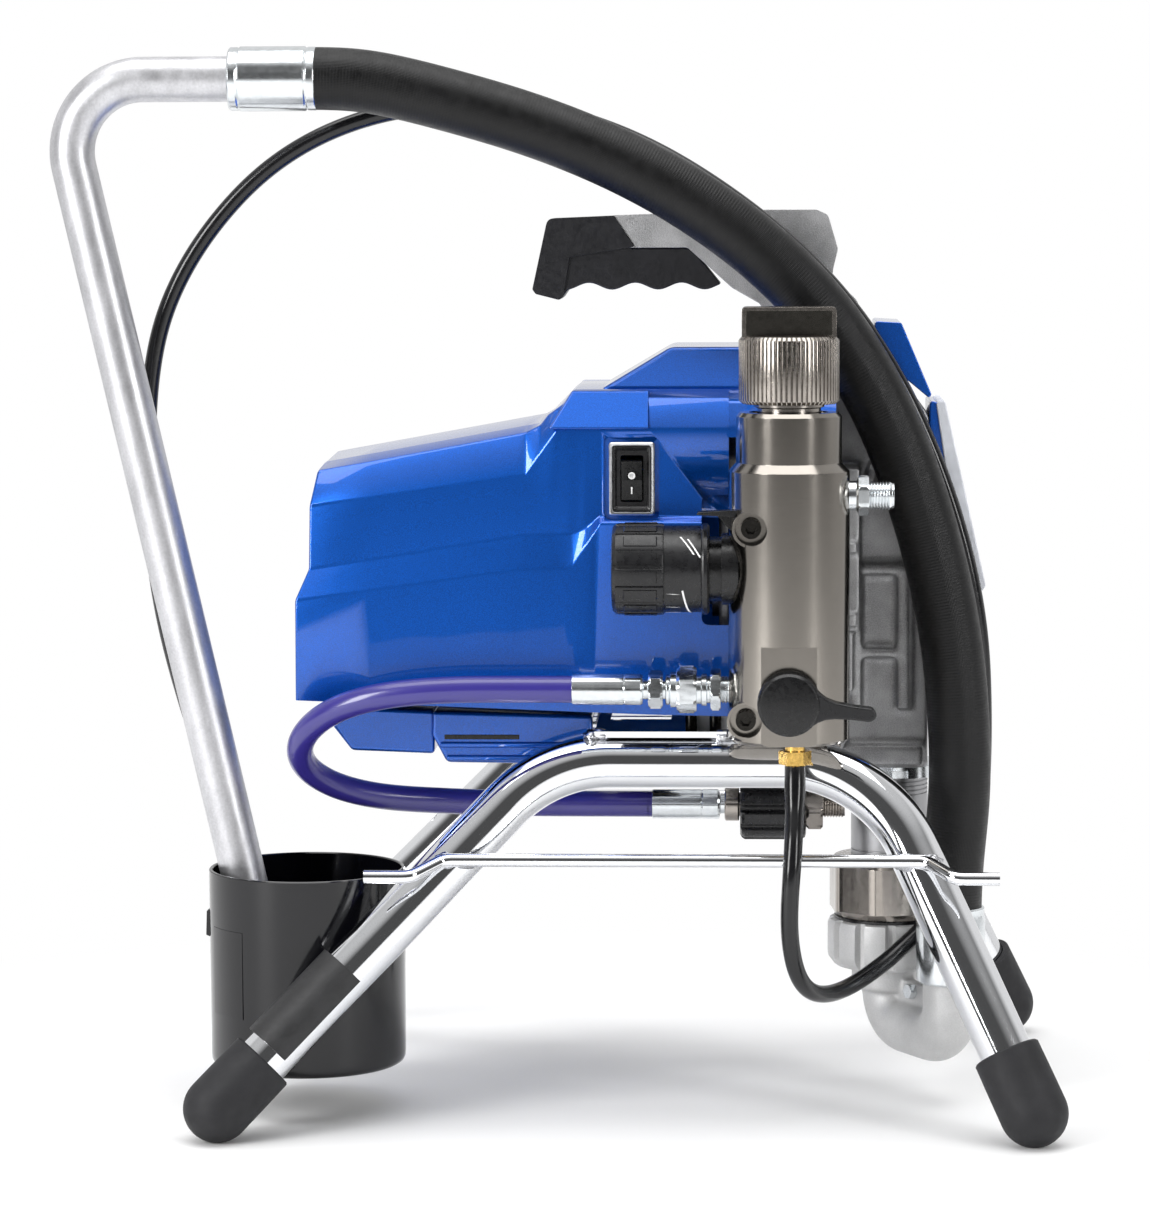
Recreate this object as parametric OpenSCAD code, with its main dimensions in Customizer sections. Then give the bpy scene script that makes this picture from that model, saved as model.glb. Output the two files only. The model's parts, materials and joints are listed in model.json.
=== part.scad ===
// Airless paint sprayer on a tubular stand.
// Frame: +X towards the pump and front cover, +Z up, floor at Z = 0, the valves and knob on the -Y side.
// The origin is on the floor at the middle of the whole machine. Millimetres throughout.

/* [Stand] */
// Outside diameter of the stand tubes
tube_d = 25.4; // [25:0.1:26]
// Wall thickness of the stand tubes
tube_wall = 1.5; // [1.2:0.1:2]
// Height of the tube centre along the top of each side frame
frame_top_z = 175.5; // [175:0.5:176]
// Half the distance between the two side frames at the top
frame_top_y = 78; // [78:0.5:79]
// Half the distance between the two side frames at the feet
foot_y = 138; // [136:1:140]
// Centre-line radius of the bends in the side frames
frame_bend = 70; // [60:1:75]
// Diameter of the hose rack rods
rack_d = 6.4; // [6:0.1:7]
// Outside diameter of the rubber feet
foot_d = 33; // [32:0.5:34]

/* [Drip cup] */
// Outside diameter of the drip cup
cup_d = 97; // [94:0.5:98]
// Height of the drip cup
cup_h = 97.5; // [94:0.5:98]
// Wall thickness of the drip cup
cup_wall = 2; // [1.5:0.1:2.5]

/* [Suction line] */
// Outside diameter of the suction tube
suction_tube_d = 22; // [21:0.5:23]
// Outside diameter of the suction hose
suction_hose_d = 30.4; // [29:0.2:31]
// Outside diameter of the drain hose
drain_hose_d = 8.4; // [7:0.2:9]
// Height of the level run of the suction tube
suction_top_z = 507; // [505:0.5:508]

/* [Motor and drive] */
// Height of the motor axis
motor_z = 250; // [250:0.5:250.5]
// Height of the crank axis
crank_z = 322; // [322:0.5:322.5]
// Throw of the crank, half of the pump stroke
crank_throw = 8; // [6:0.5:8]
// Gear module
gear_m = 1; // [0.95:0.01:1]
// Teeth on the motor pinion
pinion_teeth = 12; // [12:1:12]
// Teeth on the large intermediate gear
large_teeth = 60; // [60:1:60]
// Teeth on the small intermediate gear
small_teeth = 16; // [16:1:16]
// Teeth on the crank gear
crank_teeth = 80; // [80:1:80]
// Thickness of the moulded covers
shell_t = 3; // [2.5:0.1:3.2]

/* [Pump and manifold] */
// Distance of the pump axis from the origin
pump_x = 165; // [165:0.5:166]
// Diameter of the pump cylinder
cylinder_d = 38.5; // [38:0.1:39]
// Diameter of the displacement rod
rod_d = 16; // [14:0.5:17]
// Radius of the filter manifold
manifold_r = 29; // [28.8:0.1:29.2]
// Distance of the manifold axis from the origin, along X
manifold_x = 114; // [114:0.5:114.5]
// Distance of the manifold axis from the middle plane, along Y
manifold_y = -104; // [-104.5:0.5:-104]
// Major diameter of the paint outlet thread
outlet_thread_d = 13.6; // [13.2:0.1:13.8]
// Outside diameter of the high-pressure hose
paint_hose_d = 13; // [12:0.2:13.4]

/* [Hidden] */
$fn = 48;
// Running clearance on a radius, and the gap left between pieces that only rest on each other
run = 0.05;
gap = 0.1;
// A straight length of pipe is thinner than its bends by this much, and reaches this far into them
$nest = 0.02;
nest_len = 0.4;
// Small overlap that joins two shapes of one piece
bite = 1;

// Side frame corners, from the rear foot over the top to the front foot, for side = -1 or 1
rear_foot_x = -159;
front_foot_x = 230;
rear_corner_x = -3;
front_corner_x = 155;
foot_z = foot_d / 2 - 0.5;
function frame_path(side) = [
  [rear_foot_x, side * foot_y, foot_z],
  [rear_corner_x, side * frame_top_y, frame_top_z],
  [front_corner_x, side * frame_top_y, frame_top_z],
  [front_foot_x, side * foot_y, foot_z]];
function leg_up(side, front) = front
  ? unit(frame_path(side)[2] - frame_path(side)[3])
  : unit(frame_path(side)[1] - frame_path(side)[0]);
plate_z = frame_top_z + tube_d / 2 + gap;
plate_t = 3;

// Drip cup and the clip that holds it on the near rear leg
cup_pos = [-124, -54, 22];
clip_from = 38;
clip_len = 52;
leg_a = frame_path(-1)[0];
leg_u = leg_up(-1, false);
clip_mid = leg_a + (clip_from + clip_len / 2) * leg_u;

// Suction line
suction_y = -57;
tube_slope = 12.76;
elbow_branch = [194, -50];
elbow_r = norm(elbow_branch - [pump_x, 0]) / 2;
elbow_bend_z = elbow_r + 13.5 + 20;
ferrule_z = elbow_bend_z + gap;
ferrule_len = 38;
upper_ferrule_x = -157.6;
upper_ferrule_len = 43;
hose_start = [upper_ferrule_x + 5 + gap, suction_y, suction_top_z];
hose_path = [hose_start, [-87, suction_y, suction_top_z], [23.3, -56, 474.7], [107.5, -55, 422.1],
  [158.5, -53, 356.4], [192, -51, 257], [200, -50, 167.3], [elbow_branch[0], elbow_branch[1], 118],
  [elbow_branch[0], elbow_branch[1], ferrule_z + 2]];
tube_corner_x = -243.5;
tube_end_z = 36;
tube_path = [[upper_ferrule_x + 4, suction_y, suction_top_z], [tube_corner_x, suction_y, suction_top_z],
  [tube_corner_x + (suction_top_z - tube_end_z) * tan(tube_slope), suction_y, tube_end_z]];

// Gear train: the intermediate shaft is placed from the two centre distances
gear_gap = 0.12;
pressure_angle = 25;
d_motor = gear_m * (pinion_teeth + large_teeth) / 2;
d_crank = gear_m * (small_teeth + crank_teeth) / 2;
d_axes = crank_z - motor_z;
along_axes = (d_motor ^ 2 - d_crank ^ 2 + d_axes ^ 2) / (2 * d_axes);
mid_y = sqrt(d_motor ^ 2 - along_axes ^ 2);
mid_z = motor_z + along_axes;
case_x0 = 80;
case_x1 = 124;
gear_x0 = 86;
gear_x1 = 118;
pin_z = crank_z + crank_throw;
wrist_z = 232;
wrist_r = 4;
crank_pin_r = 7;

// Manifold levels
man_z0 = 189.5;
man_z1 = 319;
man_top = 347;
outlet_z = 307;
valve_z = 211;
pocket_y = manifold_y - 25.8;
knob_z = 272;
paint_hose_z = 214;
coupler_y = -10;
coupler_z = 145;

// ---------------------------------------------------------------- helpers

function unit(v) = v / norm(v);
function turn(p, i) = acos(min(1, max(-1, unit(p[i] - p[i - 1]) * unit(p[i + 1] - p[i]))));

// The widest bend that fits each corner of a path, up to a limit
function bends(p, limit) = [for (i = [1 : len(p) - 2])
  min(limit, 0.46 * min(norm(p[i] - p[i - 1]), norm(p[i + 1] - p[i])) / tan(turn(p, i) / 2))];

// A path with its two ends made longer
function longer(p, e) = [for (i = [0 : len(p) - 1])
  i == 0 ? p[0] - e * unit(p[1] - p[0])
  : i == len(p) - 1 ? p[i] + e * unit(p[i] - p[i - 1])
  : p[i]];

// Points the children's Z axis along dir, starting at from
module along(from, dir) {
  d = unit(dir);
  translate(from)
    rotate([0, acos(d[2]), atan2(d[1], d[0])])
      children();
}

// A round bar that follows straight lines and circular bends
module pipe(p, b, r) {
  last = len(p) - 1;
  for (i = [0 : last - 1]) {
    d = unit(p[i + 1] - p[i]);
    s = i == 0 ? 0 : b[i - 1] * tan(turn(p, i) / 2) - nest_len;
    e = i == last - 1 ? 0 : b[i] * tan(turn(p, i + 1) / 2) - nest_len;
    along(p[i] + s * d, d)
      cylinder(h = norm(p[i + 1] - p[i]) - s - e, r = r - $nest);
  }
  for (i = [1 : last - 1]) {
    u = unit(p[i] - p[i - 1]);
    v = unit(p[i + 1] - p[i]);
    m = unit(v - u * (u * v));
    w = cross(-m, u);
    c = p[i] - u * b[i - 1] * tan(turn(p, i) / 2) + m * b[i - 1];
    multmatrix([[-m[0], u[0], w[0], c[0]], [-m[1], u[1], w[1], c[1]], [-m[2], u[2], w[2], c[2]],
      [0, 0, 0, 1]])
      rotate_extrude(angle = turn(p, i), $fn = 96)
        translate([b[i - 1], 0])
          circle(r = r);
  }
}

// The same bar with a bore through it
module tube(p, limit, r, wall) {
  b = bends(p, limit);
  difference() {
    pipe(p, b, r);
    pipe(longer(p, bite), b, r - wall);
  }
}

// Moves a polygon's edges inwards by d; the points run anticlockwise
function inset(p, d) = [for (i = [0 : len(p) - 1])
  let (
    n = len(p),
    a = unit(p[i] - p[(i + n - 1) % n]),
    b = unit(p[(i + 1) % n] - p[i]),
    na = [-a[1], a[0]],
    nb = [-b[1], b[0]])
  p[i] + d * (na + nb) / (1 + na * nb)];

// Extrudes a profile drawn in X and Z between two Y values
module slab(p, y0, y1) {
  translate([0, y1, 0])
    rotate([90, 0, 0])
      linear_extrude(y1 - y0)
        polygon(p);
}

// Extrudes a profile drawn in Y and Z between two X values
module bar(p, x0, x1) {
  translate([x0, 0, 0])
    rotate([90, 0, 90])
      linear_extrude(x1 - x0)
        polygon(p);
}

// A box given by its two corners
module block(a, b) {
  translate(a)
    cube(b - a);
}

// Cylinders along each axis: position, length in the positive direction, radius
module rod_x(p, h, r) {
  translate(p)
    rotate([0, 90, 0])
      cylinder(h = h, r = r);
}
module rod_y(p, h, r) {
  translate(p)
    rotate([-90, 0, 0])
      cylinder(h = h, r = r);
}
module rod_z(p, h, r) {
  translate(p)
    cylinder(h = h, r = r);
}

// A hexagonal bar along X, measured across its flats
module hex_x(p, h, af) {
  translate(p)
    rotate([0, 90, 0])
      cylinder(h = h, d = af / cos(30), $fn = 6);
}

// A round bar with long ribs or flutes cut round it, along Z
module fluted(r, h, n, depth, width) {
  difference() {
    cylinder(h = h, r = r);
    for (i = [0 : n - 1])
      rotate(i * 360 / n)
        translate([r - depth, -width / 2, -bite])
          cube([depth + bite, width, h + 2 * bite]);
  }
}

// Socket-head screw along -Z from the underside of its head
module socket_screw(d, length) {
  difference() {
    union() {
      cylinder(h = d, r = d * 0.8);
      translate([0, 0, -length])
        cylinder(h = length + bite, r = d / 2);
    }
    translate([0, 0, d * 0.4])
      cylinder(h = d, d = d * 0.9, $fn = 6);
  }
}

// Involute spur gear along Z, centred on its axis, with a tooth centred on angle phase
function inv(a) = tan(a) * 180 / PI - a;
function half_tooth(z, r) =
  90 / z - gear_gap / 2 / (gear_m * z / 2) * 180 / PI + inv(pressure_angle)
  - inv(acos(min(1, gear_m * z / 2 * cos(pressure_angle) / r)));
function polar(r, a) = [r * cos(a), r * sin(a)];
module spur(z, w, phase) {
  pitch_r = gear_m * z / 2;
  base_r = pitch_r * cos(pressure_angle);
  tip_r = pitch_r + 0.95 * gear_m;
  root_r = pitch_r - 1.25 * gear_m;
  start_r = max(base_r, root_r) + 0.01;
  steps = 3;
  radii = [for (j = [0 : steps]) start_r + (tip_r - start_r) * j / steps];
  linear_extrude(w)
    polygon([for (k = [0 : z - 1]) let (c = phase + k * 360 / z) each concat(
      [polar(root_r, c - half_tooth(z, start_r))],
      [for (j = [0 : steps]) polar(radii[j], c - half_tooth(z, radii[j]))],
      [for (j = [0 : steps]) polar(radii[steps - j], c + half_tooth(z, radii[steps - j]))],
      [polar(root_r, c + half_tooth(z, start_r))])]);
}

// A spur gear on an X axis: its profile angle is measured from +Y towards +Z
module spur_x(y, z0, x, teeth, w, phase) {
  translate([x, y, z0])
    multmatrix([[0, 0, 1, 0], [1, 0, 0, 0], [0, 1, 0, 0], [0, 0, 0, 1]])
      spur(teeth, w, phase);
}

// Phase that lets gear B, seen from A at angle dir, mesh with A whose tooth is at phase_a
function mesh_phase(za, phase_a, zb, dir) =
  dir + 180 - (0.5 - (dir - phase_a) * za / 360) * 360 / zb;

// ---------------------------------------------------------------- stand

module side_frames() color("lightgray") {
  for (side = [-1, 1])
    tube(longer(frame_path(side), -4), frame_bend, tube_d / 2, tube_wall);
}

plate_x = [20, 84];
bolt_places = [for (x = [66, 78], y = [-36, 36]) [x, y]];
module mounting_plate() color("silver")
  difference() {
    block([plate_x[0], -frame_top_y - 8, plate_z], [plate_x[1], frame_top_y + 8, plate_z + plate_t]);
    for (p = bolt_places)
      rod_z([p[0], p[1], plate_z - bite], plate_t + 2 * bite, 3.3);
    block([26, -40, plate_z - bite], [56, 40, plate_z + plate_t + bite]);
  }

module hose_racks() color("silver") {
  weld_z = 132;
  prong_z = 126;
  prong_y = 125;
  // The rods touch the outside of the legs at this height
  lean = atan((foot_y - frame_top_y) / (frame_top_z - foot_z));
  weld_y = foot_y - (weld_z - foot_z) * tan(lean) + ((tube_d + rack_d) / 2 + gap) / cos(lean);
  for (side = [-1, 1]) {
    p = [[-89, side * prong_y, prong_z], [-67, side * prong_y, prong_z], [-52, side * weld_y, weld_z],
      [180, side * weld_y, weld_z], [193, side * prong_y, prong_z], [214, side * prong_y, prong_z]];
    pipe(p, bends(p, 9), rack_d / 2);
  }
}

module rubber_feet() color([0.13, 0.13, 0.14]) {
  sleeve = 31.5;
  for (side = [-1, 1], front = [false, true]) {
    c = frame_path(side)[front ? 3 : 0];
    difference() {
      along(c, leg_up(side, front))
        difference() {
          union() {
            sphere(r = foot_d / 2);
            cylinder(h = sleeve, r = foot_d / 2 - $nest);
          }
          translate([0, 0, 4 - gap])
            cylinder(h = sleeve, r = tube_d / 2);
        }
      block([c[0] - foot_d, c[1] - foot_d, -foot_d], [c[0] + foot_d, c[1] + foot_d, 0]);
    }
  }
}

module frame_bolts() color("dimgray")
  for (p = bolt_places)
    translate([p[0], p[1], plate_z - gap])
      mirror([0, 0, 1])
        socket_screw(6, 14);

// ---------------------------------------------------------------- drip cup

module drip_cup() color([0.08, 0.08, 0.09])
  difference() {
    translate(cup_pos)
      rotate_extrude()
        polygon([[0, 0], [cup_d / 2 - 1.5, 0], [cup_d / 2, 1.5], [cup_d / 2, cup_h],
          [cup_d / 2 - cup_wall, cup_h], [cup_d / 2 - cup_wall, cup_wall + 0.5], [0, cup_wall + 0.5]]);
    for (dz = clip_screw_dz)
      rod_y([clip_mid[0] + dz, cup_pos[1] - cup_d / 2 - 4, clip_mid[2] + dz], 12, 2.1);
  }

clip_screw_dz = [-6, 6];
clip_t = 2.8;
clip_boss_r = 5;
screw_head_r = 3.5;
// Wall of the cup at the place of a clip screw
function cup_wall_y(x) = cup_pos[1] - sqrt((cup_d / 2) ^ 2 - (x - cup_pos[0]) ^ 2);
module cup_clip() color([0.1, 0.1, 0.1])
  difference() {
    union() {
      along(leg_a + clip_from * leg_u, leg_u)
        cylinder(h = clip_len, r = tube_d / 2 + run + clip_t);
      for (dz = clip_screw_dz)
        translate([clip_mid[0] + dz, clip_mid[1] + 8, clip_mid[2] + dz])
          rotate([-90, 0, 0])
            cylinder(h = cup_wall_y(clip_mid[0] + dz) - clip_mid[1] - 8 - gap - 0.5, r = clip_boss_r);
    }
    along(leg_a + (clip_from - bite) * leg_u, leg_u) {
      cylinder(h = clip_len + 2 * bite, r = tube_d / 2 + run);
      // The open side of the clip faces the front and the outside
      translate([3, -30, 0])
        cube([30, 60, clip_len + 2 * bite]);
    }
    for (dz = clip_screw_dz)
      rod_y([clip_mid[0] + dz, clip_mid[1] + 13, clip_mid[2] + dz], 20, 1.6);
    // The bosses follow the round wall of the cup
    rod_z([cup_pos[0], cup_pos[1], 0], 150, cup_d / 2 + gap);
  }

module clip_screws() color("dimgray")
  for (dz = clip_screw_dz) {
    // The head rests on the inside of the wall with the edge that is furthest round the cup
    wall = cup_wall_y(clip_mid[0] + dz + screw_head_r) + cup_wall + 0.4;
    translate([clip_mid[0] + dz, wall, clip_mid[2] + dz])
      rotate([-90, 0, 0]) {
        cylinder(h = 2.2, r = screw_head_r);
        translate([0, 0, -7])
          cylinder(h = 7 + bite, r = 1.55);
      }
  }

// ---------------------------------------------------------------- covers

shroud_front = 96;
shroud_top = 355;
// The roof and its shoulders reach further forward than the walls, over the gear case
hood_front = 136;
hood_z = 334;
shroud_upper = [[-118, 199], [shroud_front, 199], [shroud_front, hood_z], [hood_front, hood_z],
  [hood_front, shroud_top], [10, shroud_top], [-4, 340], [-114, 318.5], [-116, 299], [-118, 270]];
shroud_lower = [[-126, 202], [64, 197], [64, 206], [shroud_front, 206], [shroud_front, 291], [21, 291],
  [8, 269], [-17, 269], [-124, 254], [-126, 250]];
upper_half = 70;
lower_half = 75;
upper_section = [[-upper_half, 190], [upper_half, 190], [upper_half, 300], [62, 338], [48, 360],
  [-48, 360], [-62, 338], [-upper_half, 300]];
switch_c = [38, 313];
module motor_shroud() color([0.05, 0.28, 0.8])
  difference() {
    union() {
      intersection() {
        slab(shroud_upper, -upper_half - 1, upper_half + 1);
        bar(upper_section, -130, hood_front + 1);
      }
      slab(shroud_lower, -lower_half, lower_half);
    }
    intersection() {
      slab(concat([[-118 + shell_t, 180], [hood_front + 9, 180], [hood_front + 9, shroud_top - shell_t]],
        [for (i = [5 : 9]) inset(shroud_upper, shell_t)[i]]), -80, 80);
      bar(inset(upper_section, shell_t), -130, hood_front + 10);
    }
    slab(inset(shroud_lower, shell_t), -lower_half + shell_t, lower_half - shell_t);
    block([-126 + shell_t, -lower_half + shell_t, 180], [66, lower_half - shell_t, 210]);
    block([60, -lower_half + shell_t, 195], [shroud_front + 9, lower_half - shell_t, 288]);
    // Roof opening over the gear case, under the top cover and the handle
    block([74, -46, 340], [hood_front + 9, 46, 365]);
    // Open corner behind the filter manifold
    block([84, -90, 180], [hood_front + 9, -45, 314]);
    // Opening for the power switch, and cooling slots in the rear wall
    block([switch_c[0] - 9.5, -80, switch_c[1] - 16.8], [switch_c[0] + 9.5, -60, switch_c[1] + 16.8]);
    for (z = [212 : 9 : 248])
      block([-130, -40, z], [-110, 40, z + 4]);
  }

module top_cover() color([0.05, 0.28, 0.8]) {
  crown = 375;
  p = [[22, shroud_top + gap], [103, shroud_top + gap], [103, crown], [56, crown - 1]];
  q = [[-44, 350], [44, 350], [44, 362], [34, crown + 0.5], [-34, crown + 0.5], [-44, 362]];
  difference() {
    intersection() {
      slab(p, -50, 50);
      bar(q, 0, 110);
    }
    intersection() {
      slab([[32, 350], [120, 350], [120, crown - shell_t], [57, crown - 1 - shell_t], [32, 359]], -50, 50);
      bar(inset(q, shell_t), 0, 120);
    }
  }
}

module lower_pan() color([0.05, 0.26, 0.75]) {
  half = 60;
  p = [[-101, 178], [-61, 178], [-55, 172], [14, 172], [18, 176], [18, 196], [-112, 196]];
  difference() {
    slab(p, -half, half);
    slab(concat([for (i = [0 : 4]) inset(p, 2.5)[i]], [[15.5, 205], [-105, 205]]), -half + 2.5, half - 2.5);
    // Louvres along both lower edges
    for (side = [-1, 1], k = [0 : 2])
      block([-48, side * half - 8, 175 + 5 * k], [4, side * half + 8, 177 + 5 * k]);
  }
}

module front_cover() color([0.86, 0.87, 0.88]) {
  p = [[184, 252], [205, 250.5], [212, 256], [191.5, 350], [184, 350]];
  half = 31;
  difference() {
    slab(p, -half, half);
    slab([[180, 255], [204, 253.5], [208.5, 257.5], [189, 347], [180, 347]], -half + shell_t, half - shell_t);
  }
}

module front_cap() color([0.05, 0.28, 0.8]) {
  p = [[157, 362.5], [168, 362.5], [183.3, 349], [184, 351.5], [169, 387], [157, 387.5]];
  half = 31;
  difference() {
    slab(p, -half, half);
    slab([[150, 355], [172, 350], [180, 350], [166.5, 384], [150, 384.5]], -half + shell_t, half - shell_t);
  }
}

// ---------------------------------------------------------------- drive housing and handle

case_section = [[-60, 215], [-44, 200], [44, 200], [60, 215], [60, 322], [32, 369], [-32, 369], [-60, 322]];
tower_half = 30;
tower_profile = [[143, 166], [183, 166], [183, 342], [170, 358], [124, 358], [124, 200], [137, 192],
  [143, 184]];
cavity_z = [188.5, 350];
module drive_housing() color([0.62, 0.62, 0.62])
  difference() {
    union() {
      bar(case_section, case_x0, case_x1);
      // Lower case, stepped down towards the pump
      block([case_x1 - bite, -58, 236], [149, 58, 318]);
      block([case_x1 - bite, -52, 205], [146, 52, 236 + bite]);
      slab(tower_profile, -tower_half, tower_half);
      // Motor flange and the pads that stand on the mounting plate
      rod_x([60, 0, motor_z], case_x0 - 60 + bite, 50);
      block([61, -46, plate_z + plate_t + gap], [case_x0 + 4, 46, 215]);
      // Saddle under the handle
      block([104, -24, 356], [156, 24, 388]);
      // Machined pad for the manifold
      block([86, -75 + gap, 193], [138, -50, 312]);
    }
    // Gear cavity
    rod_x([gear_x0, 0, crank_z], gear_x1 - gear_x0, 43);
    rod_x([gear_x0, mid_y, mid_z], gear_x1 - gear_x0, 33);
    rod_x([gear_x0, 0, motor_z], gear_x1 - gear_x0, 16);
    // Bearing bores of the intermediate and crank shafts
    rod_x([gear_x0 - 4, mid_y, mid_z], 50, 5 + run);
    rod_x([gear_x0 - 4, 0, crank_z], 10, 8 + run);
    rod_x([gear_x1 - bite, 0, crank_z], 30, 18 + run);
    // Motor register and front motor bearing
    rod_x([58, 0, motor_z], 20, 42);
    rod_x([70, 0, motor_z], 14, 11 + gap);
    rod_x([70, 0, motor_z], 20, 7);
    // Rod cavity, open to the front
    block([145, -24, cavity_z[0]], [180, 24, cavity_z[1]]);
    block([175, -21, 256], [190, 21, 340]);
    // Pump bore
    rod_z([pump_x, 0, 160], cavity_z[0] - 159, cylinder_d / 2 + run);
    // Frame bolts
    for (p = bolt_places)
      rod_z([p[0], p[1], 190], 20, 3.05);
    // Handle screws
    for (x = handle_screw_x)
      rod_z([x, 0, 370], 30, 3.05);
    // Manifold bolts
    for (p = manifold_bolt_places)
      rod_y([p[0], -80, p[1]], 35, 3.1);
  }

handle_screw_x = [110, 126];
handle_half = 13;
module handle_arm() color([0.72, 0.72, 0.72])
  difference() {
    slab([[26, 424], [64, 424], [86, 404], [100, 396], [102, 388 + gap], [134, 388 + gap], [132, 400],
      [134, 411], [139, 427], [132, 439], [120, 443], [26, 441]], -handle_half, handle_half);
    for (x = handle_screw_x) {
      rod_z([x, 0, 380], 80, 3.2);
      rod_z([x, 0, 398], 60, 5.5);
    }
    // Weight-saving pocket along the underside
    slab([[60, 428], [70, 424], [100, 404], [100, 432], [60, 436]], -7, 7);
  }

module handle_grip() color([0.1, 0.1, 0.1])
  difference() {
    slab([[-5, 438.5], [-13, 402], [0, 398.5], [3, 405], [8, 402], [80, 402], [62, 423.5], [25.5, 423.5],
      [25.5, 438.5]], -handle_half - 1, handle_half + 1);
    for (i = [0 : 2])
      rod_y([21 + 20 * i, -20, 396.5], 40, 9);
  }

module handle_screws() color("dimgray")
  for (x = handle_screw_x)
    translate([x, 0, 398 + gap])
      socket_screw(6, 22);

// ---------------------------------------------------------------- motor and gears

can_x = [-80, 60 - gap];
module motor_can() color([0.3, 0.3, 0.32])
  difference() {
    rod_x([can_x[0], 0, motor_z], can_x[1] - can_x[0], 46);
    rod_x([can_x[0] + 6, 0, motor_z], 200, 42);
    rod_x([can_x[0] - bite, 0, motor_z], 5 + bite, 11 + gap);
    rod_x([can_x[0] - bite, 0, motor_z], 20, 7);
  }

module motor_bearings() color("silver") {
  for (x = [can_x[0] + gap, 76])
    difference() {
      rod_x([x, 0, motor_z], 5 - 2 * gap, 11);
      rod_x([x - bite, 0, motor_z], 8, 5 + run);
    }
}

pinion_phase = 0;
large_phase = mesh_phase(pinion_teeth, pinion_phase, large_teeth, atan2(mid_z - motor_z, mid_y));
crank_phase = 0;
small_phase = mesh_phase(crank_teeth, crank_phase, small_teeth, atan2(mid_z - crank_z, mid_y));

module armature() color([0.55, 0.4, 0.3]) {
  rod_x([-98, 0, motor_z], 186, 5);
  rod_x([-55, 0, motor_z], 80, 30);
  rod_x([36, 0, motor_z], 16, 14);
  spur_x(0, motor_z, 87.5, pinion_teeth, 11, pinion_phase);
}

module cooling_fan() color([0.15, 0.15, 0.15])
  difference() {
    union() {
      rod_x([-97, 0, motor_z], 10, 12);
      rod_x([-89, 0, motor_z], 2, 36);
      for (i = [0 : 6])
        translate([-97, 0, motor_z])
          rotate([i * 360 / 7, 0, 0])
            translate([0, -1, 10])
              cube([9, 2, 26]);
    }
    rod_x([-100, 0, motor_z], 20, 5);
  }

module intermediate_gear() color([0.75, 0.7, 0.55]) {
  spur_x(mid_y, mid_z, 89, large_teeth, 9, large_phase);
  spur_x(mid_y, mid_z, 97, small_teeth, 18, small_phase);
  rod_x([gear_x0 - 3.5, mid_y, mid_z], 44, 5);
}

module crank_gear() color([0.6, 0.6, 0.62]) {
  spur_x(0, crank_z, 104, crank_teeth, 10, crank_phase);
  rod_x([gear_x0 - 3.5, 0, crank_z], 22, 8);
  rod_x([113, 0, crank_z], 31, 18);
  rod_x([143, 0, pin_z], 28, crank_pin_r);
}

module connecting_rod() color([0.5, 0.5, 0.52])
  difference() {
    union() {
      rod_x([160, 0, pin_z], 10, 14);
      rod_x([160.5, 0, wrist_z], 9, 9);
      block([161, -6, wrist_z], [169, 6, pin_z]);
    }
    rod_x([158, 0, pin_z], 14, crank_pin_r + run);
    rod_x([158, 0, wrist_z], 14, wrist_r);
  }

module wrist_pin() color("silver")
  rod_x([153, 0, wrist_z], 24, wrist_r);

// ---------------------------------------------------------------- pump

yoke_z = [wrist_z - 27, wrist_z + 27];
piston_z = 142;
// Underside of the nut that holds the suction elbow
nut_z = 62.5;
ball_r = 3.9;
module displacement_rod() color("silver") {
  window_y = crank_throw + wrist_r + 0.8;
  window_z = 2 * crank_throw + wrist_r + 0.8;
  difference() {
    union() {
      block([151.5, -window_y - 5, yoke_z[0]], [178.5, window_y + 5, yoke_z[1]]);
      rod_z([pump_x, 0, piston_z], yoke_z[0] - piston_z + bite, rod_d / 2);
      rod_z([pump_x, 0, piston_z - 8], 16, 12);
    }
    // Slot for the connecting rod, and the open window for its wrist pin
    block([158.5, -30, wrist_z - 2 * crank_throw - 10.5], [171.5, 30, yoke_z[1] + bite]);
    block([150, -window_y, wrist_z - window_z], [180, window_y, wrist_z + window_z]);
    // Ball chamber and seat of the piston valve
    rod_z([pump_x, 0, piston_z - 3], 14, 5);
    rod_z([pump_x, 0, piston_z - 10], 20, 3);
    rod_x([pump_x - 20, 0, piston_z + 9.5], 40, 2);
  }
}

module piston_ball() color("lightgray")
  translate([pump_x, 0, piston_z - 3 + sqrt(ball_r ^ 2 - 9) + 0.06])
    sphere(r = ball_r);

module rod_packings() color([0.85, 0.8, 0.6])
  for (k = [0 : 2])
    difference() {
      rod_z([pump_x, 0, 171 + 5 * k], 4.8, 12);
      rod_z([pump_x, 0, 170 + 5 * k], 8, rod_d / 2 + run);
    }

module pump_cylinder() color([0.7, 0.7, 0.7])
  difference() {
    rod_z([pump_x, 0, 118 + gap], 70, cylinder_d / 2);
    rod_z([pump_x, 0, 110], 100, 12 + run);
    // Thread under the jam nut, and the turned groove near the lower end
    for (k = [0 : 3])
      ring(pump_x, 0, 150.5 + 2.2 * k, 1.1, cylinder_d / 2 - 0.7, cylinder_d / 2 + 1);
    ring(pump_x, 0, 121.5, 0.8, cylinder_d / 2 - 0.5, cylinder_d / 2 + 1);
    // Pump outlet
    rod_x([pump_x - 25, coupler_y, coupler_z], 22, 5.5);
  }

module ring(x, y, z, h, r0, r1) {
  translate([x, y, z])
    difference() {
      cylinder(h = h, r = r1);
      translate([0, 0, -bite])
        cylinder(h = h + 2 * bite, r = r0);
    }
}

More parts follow.
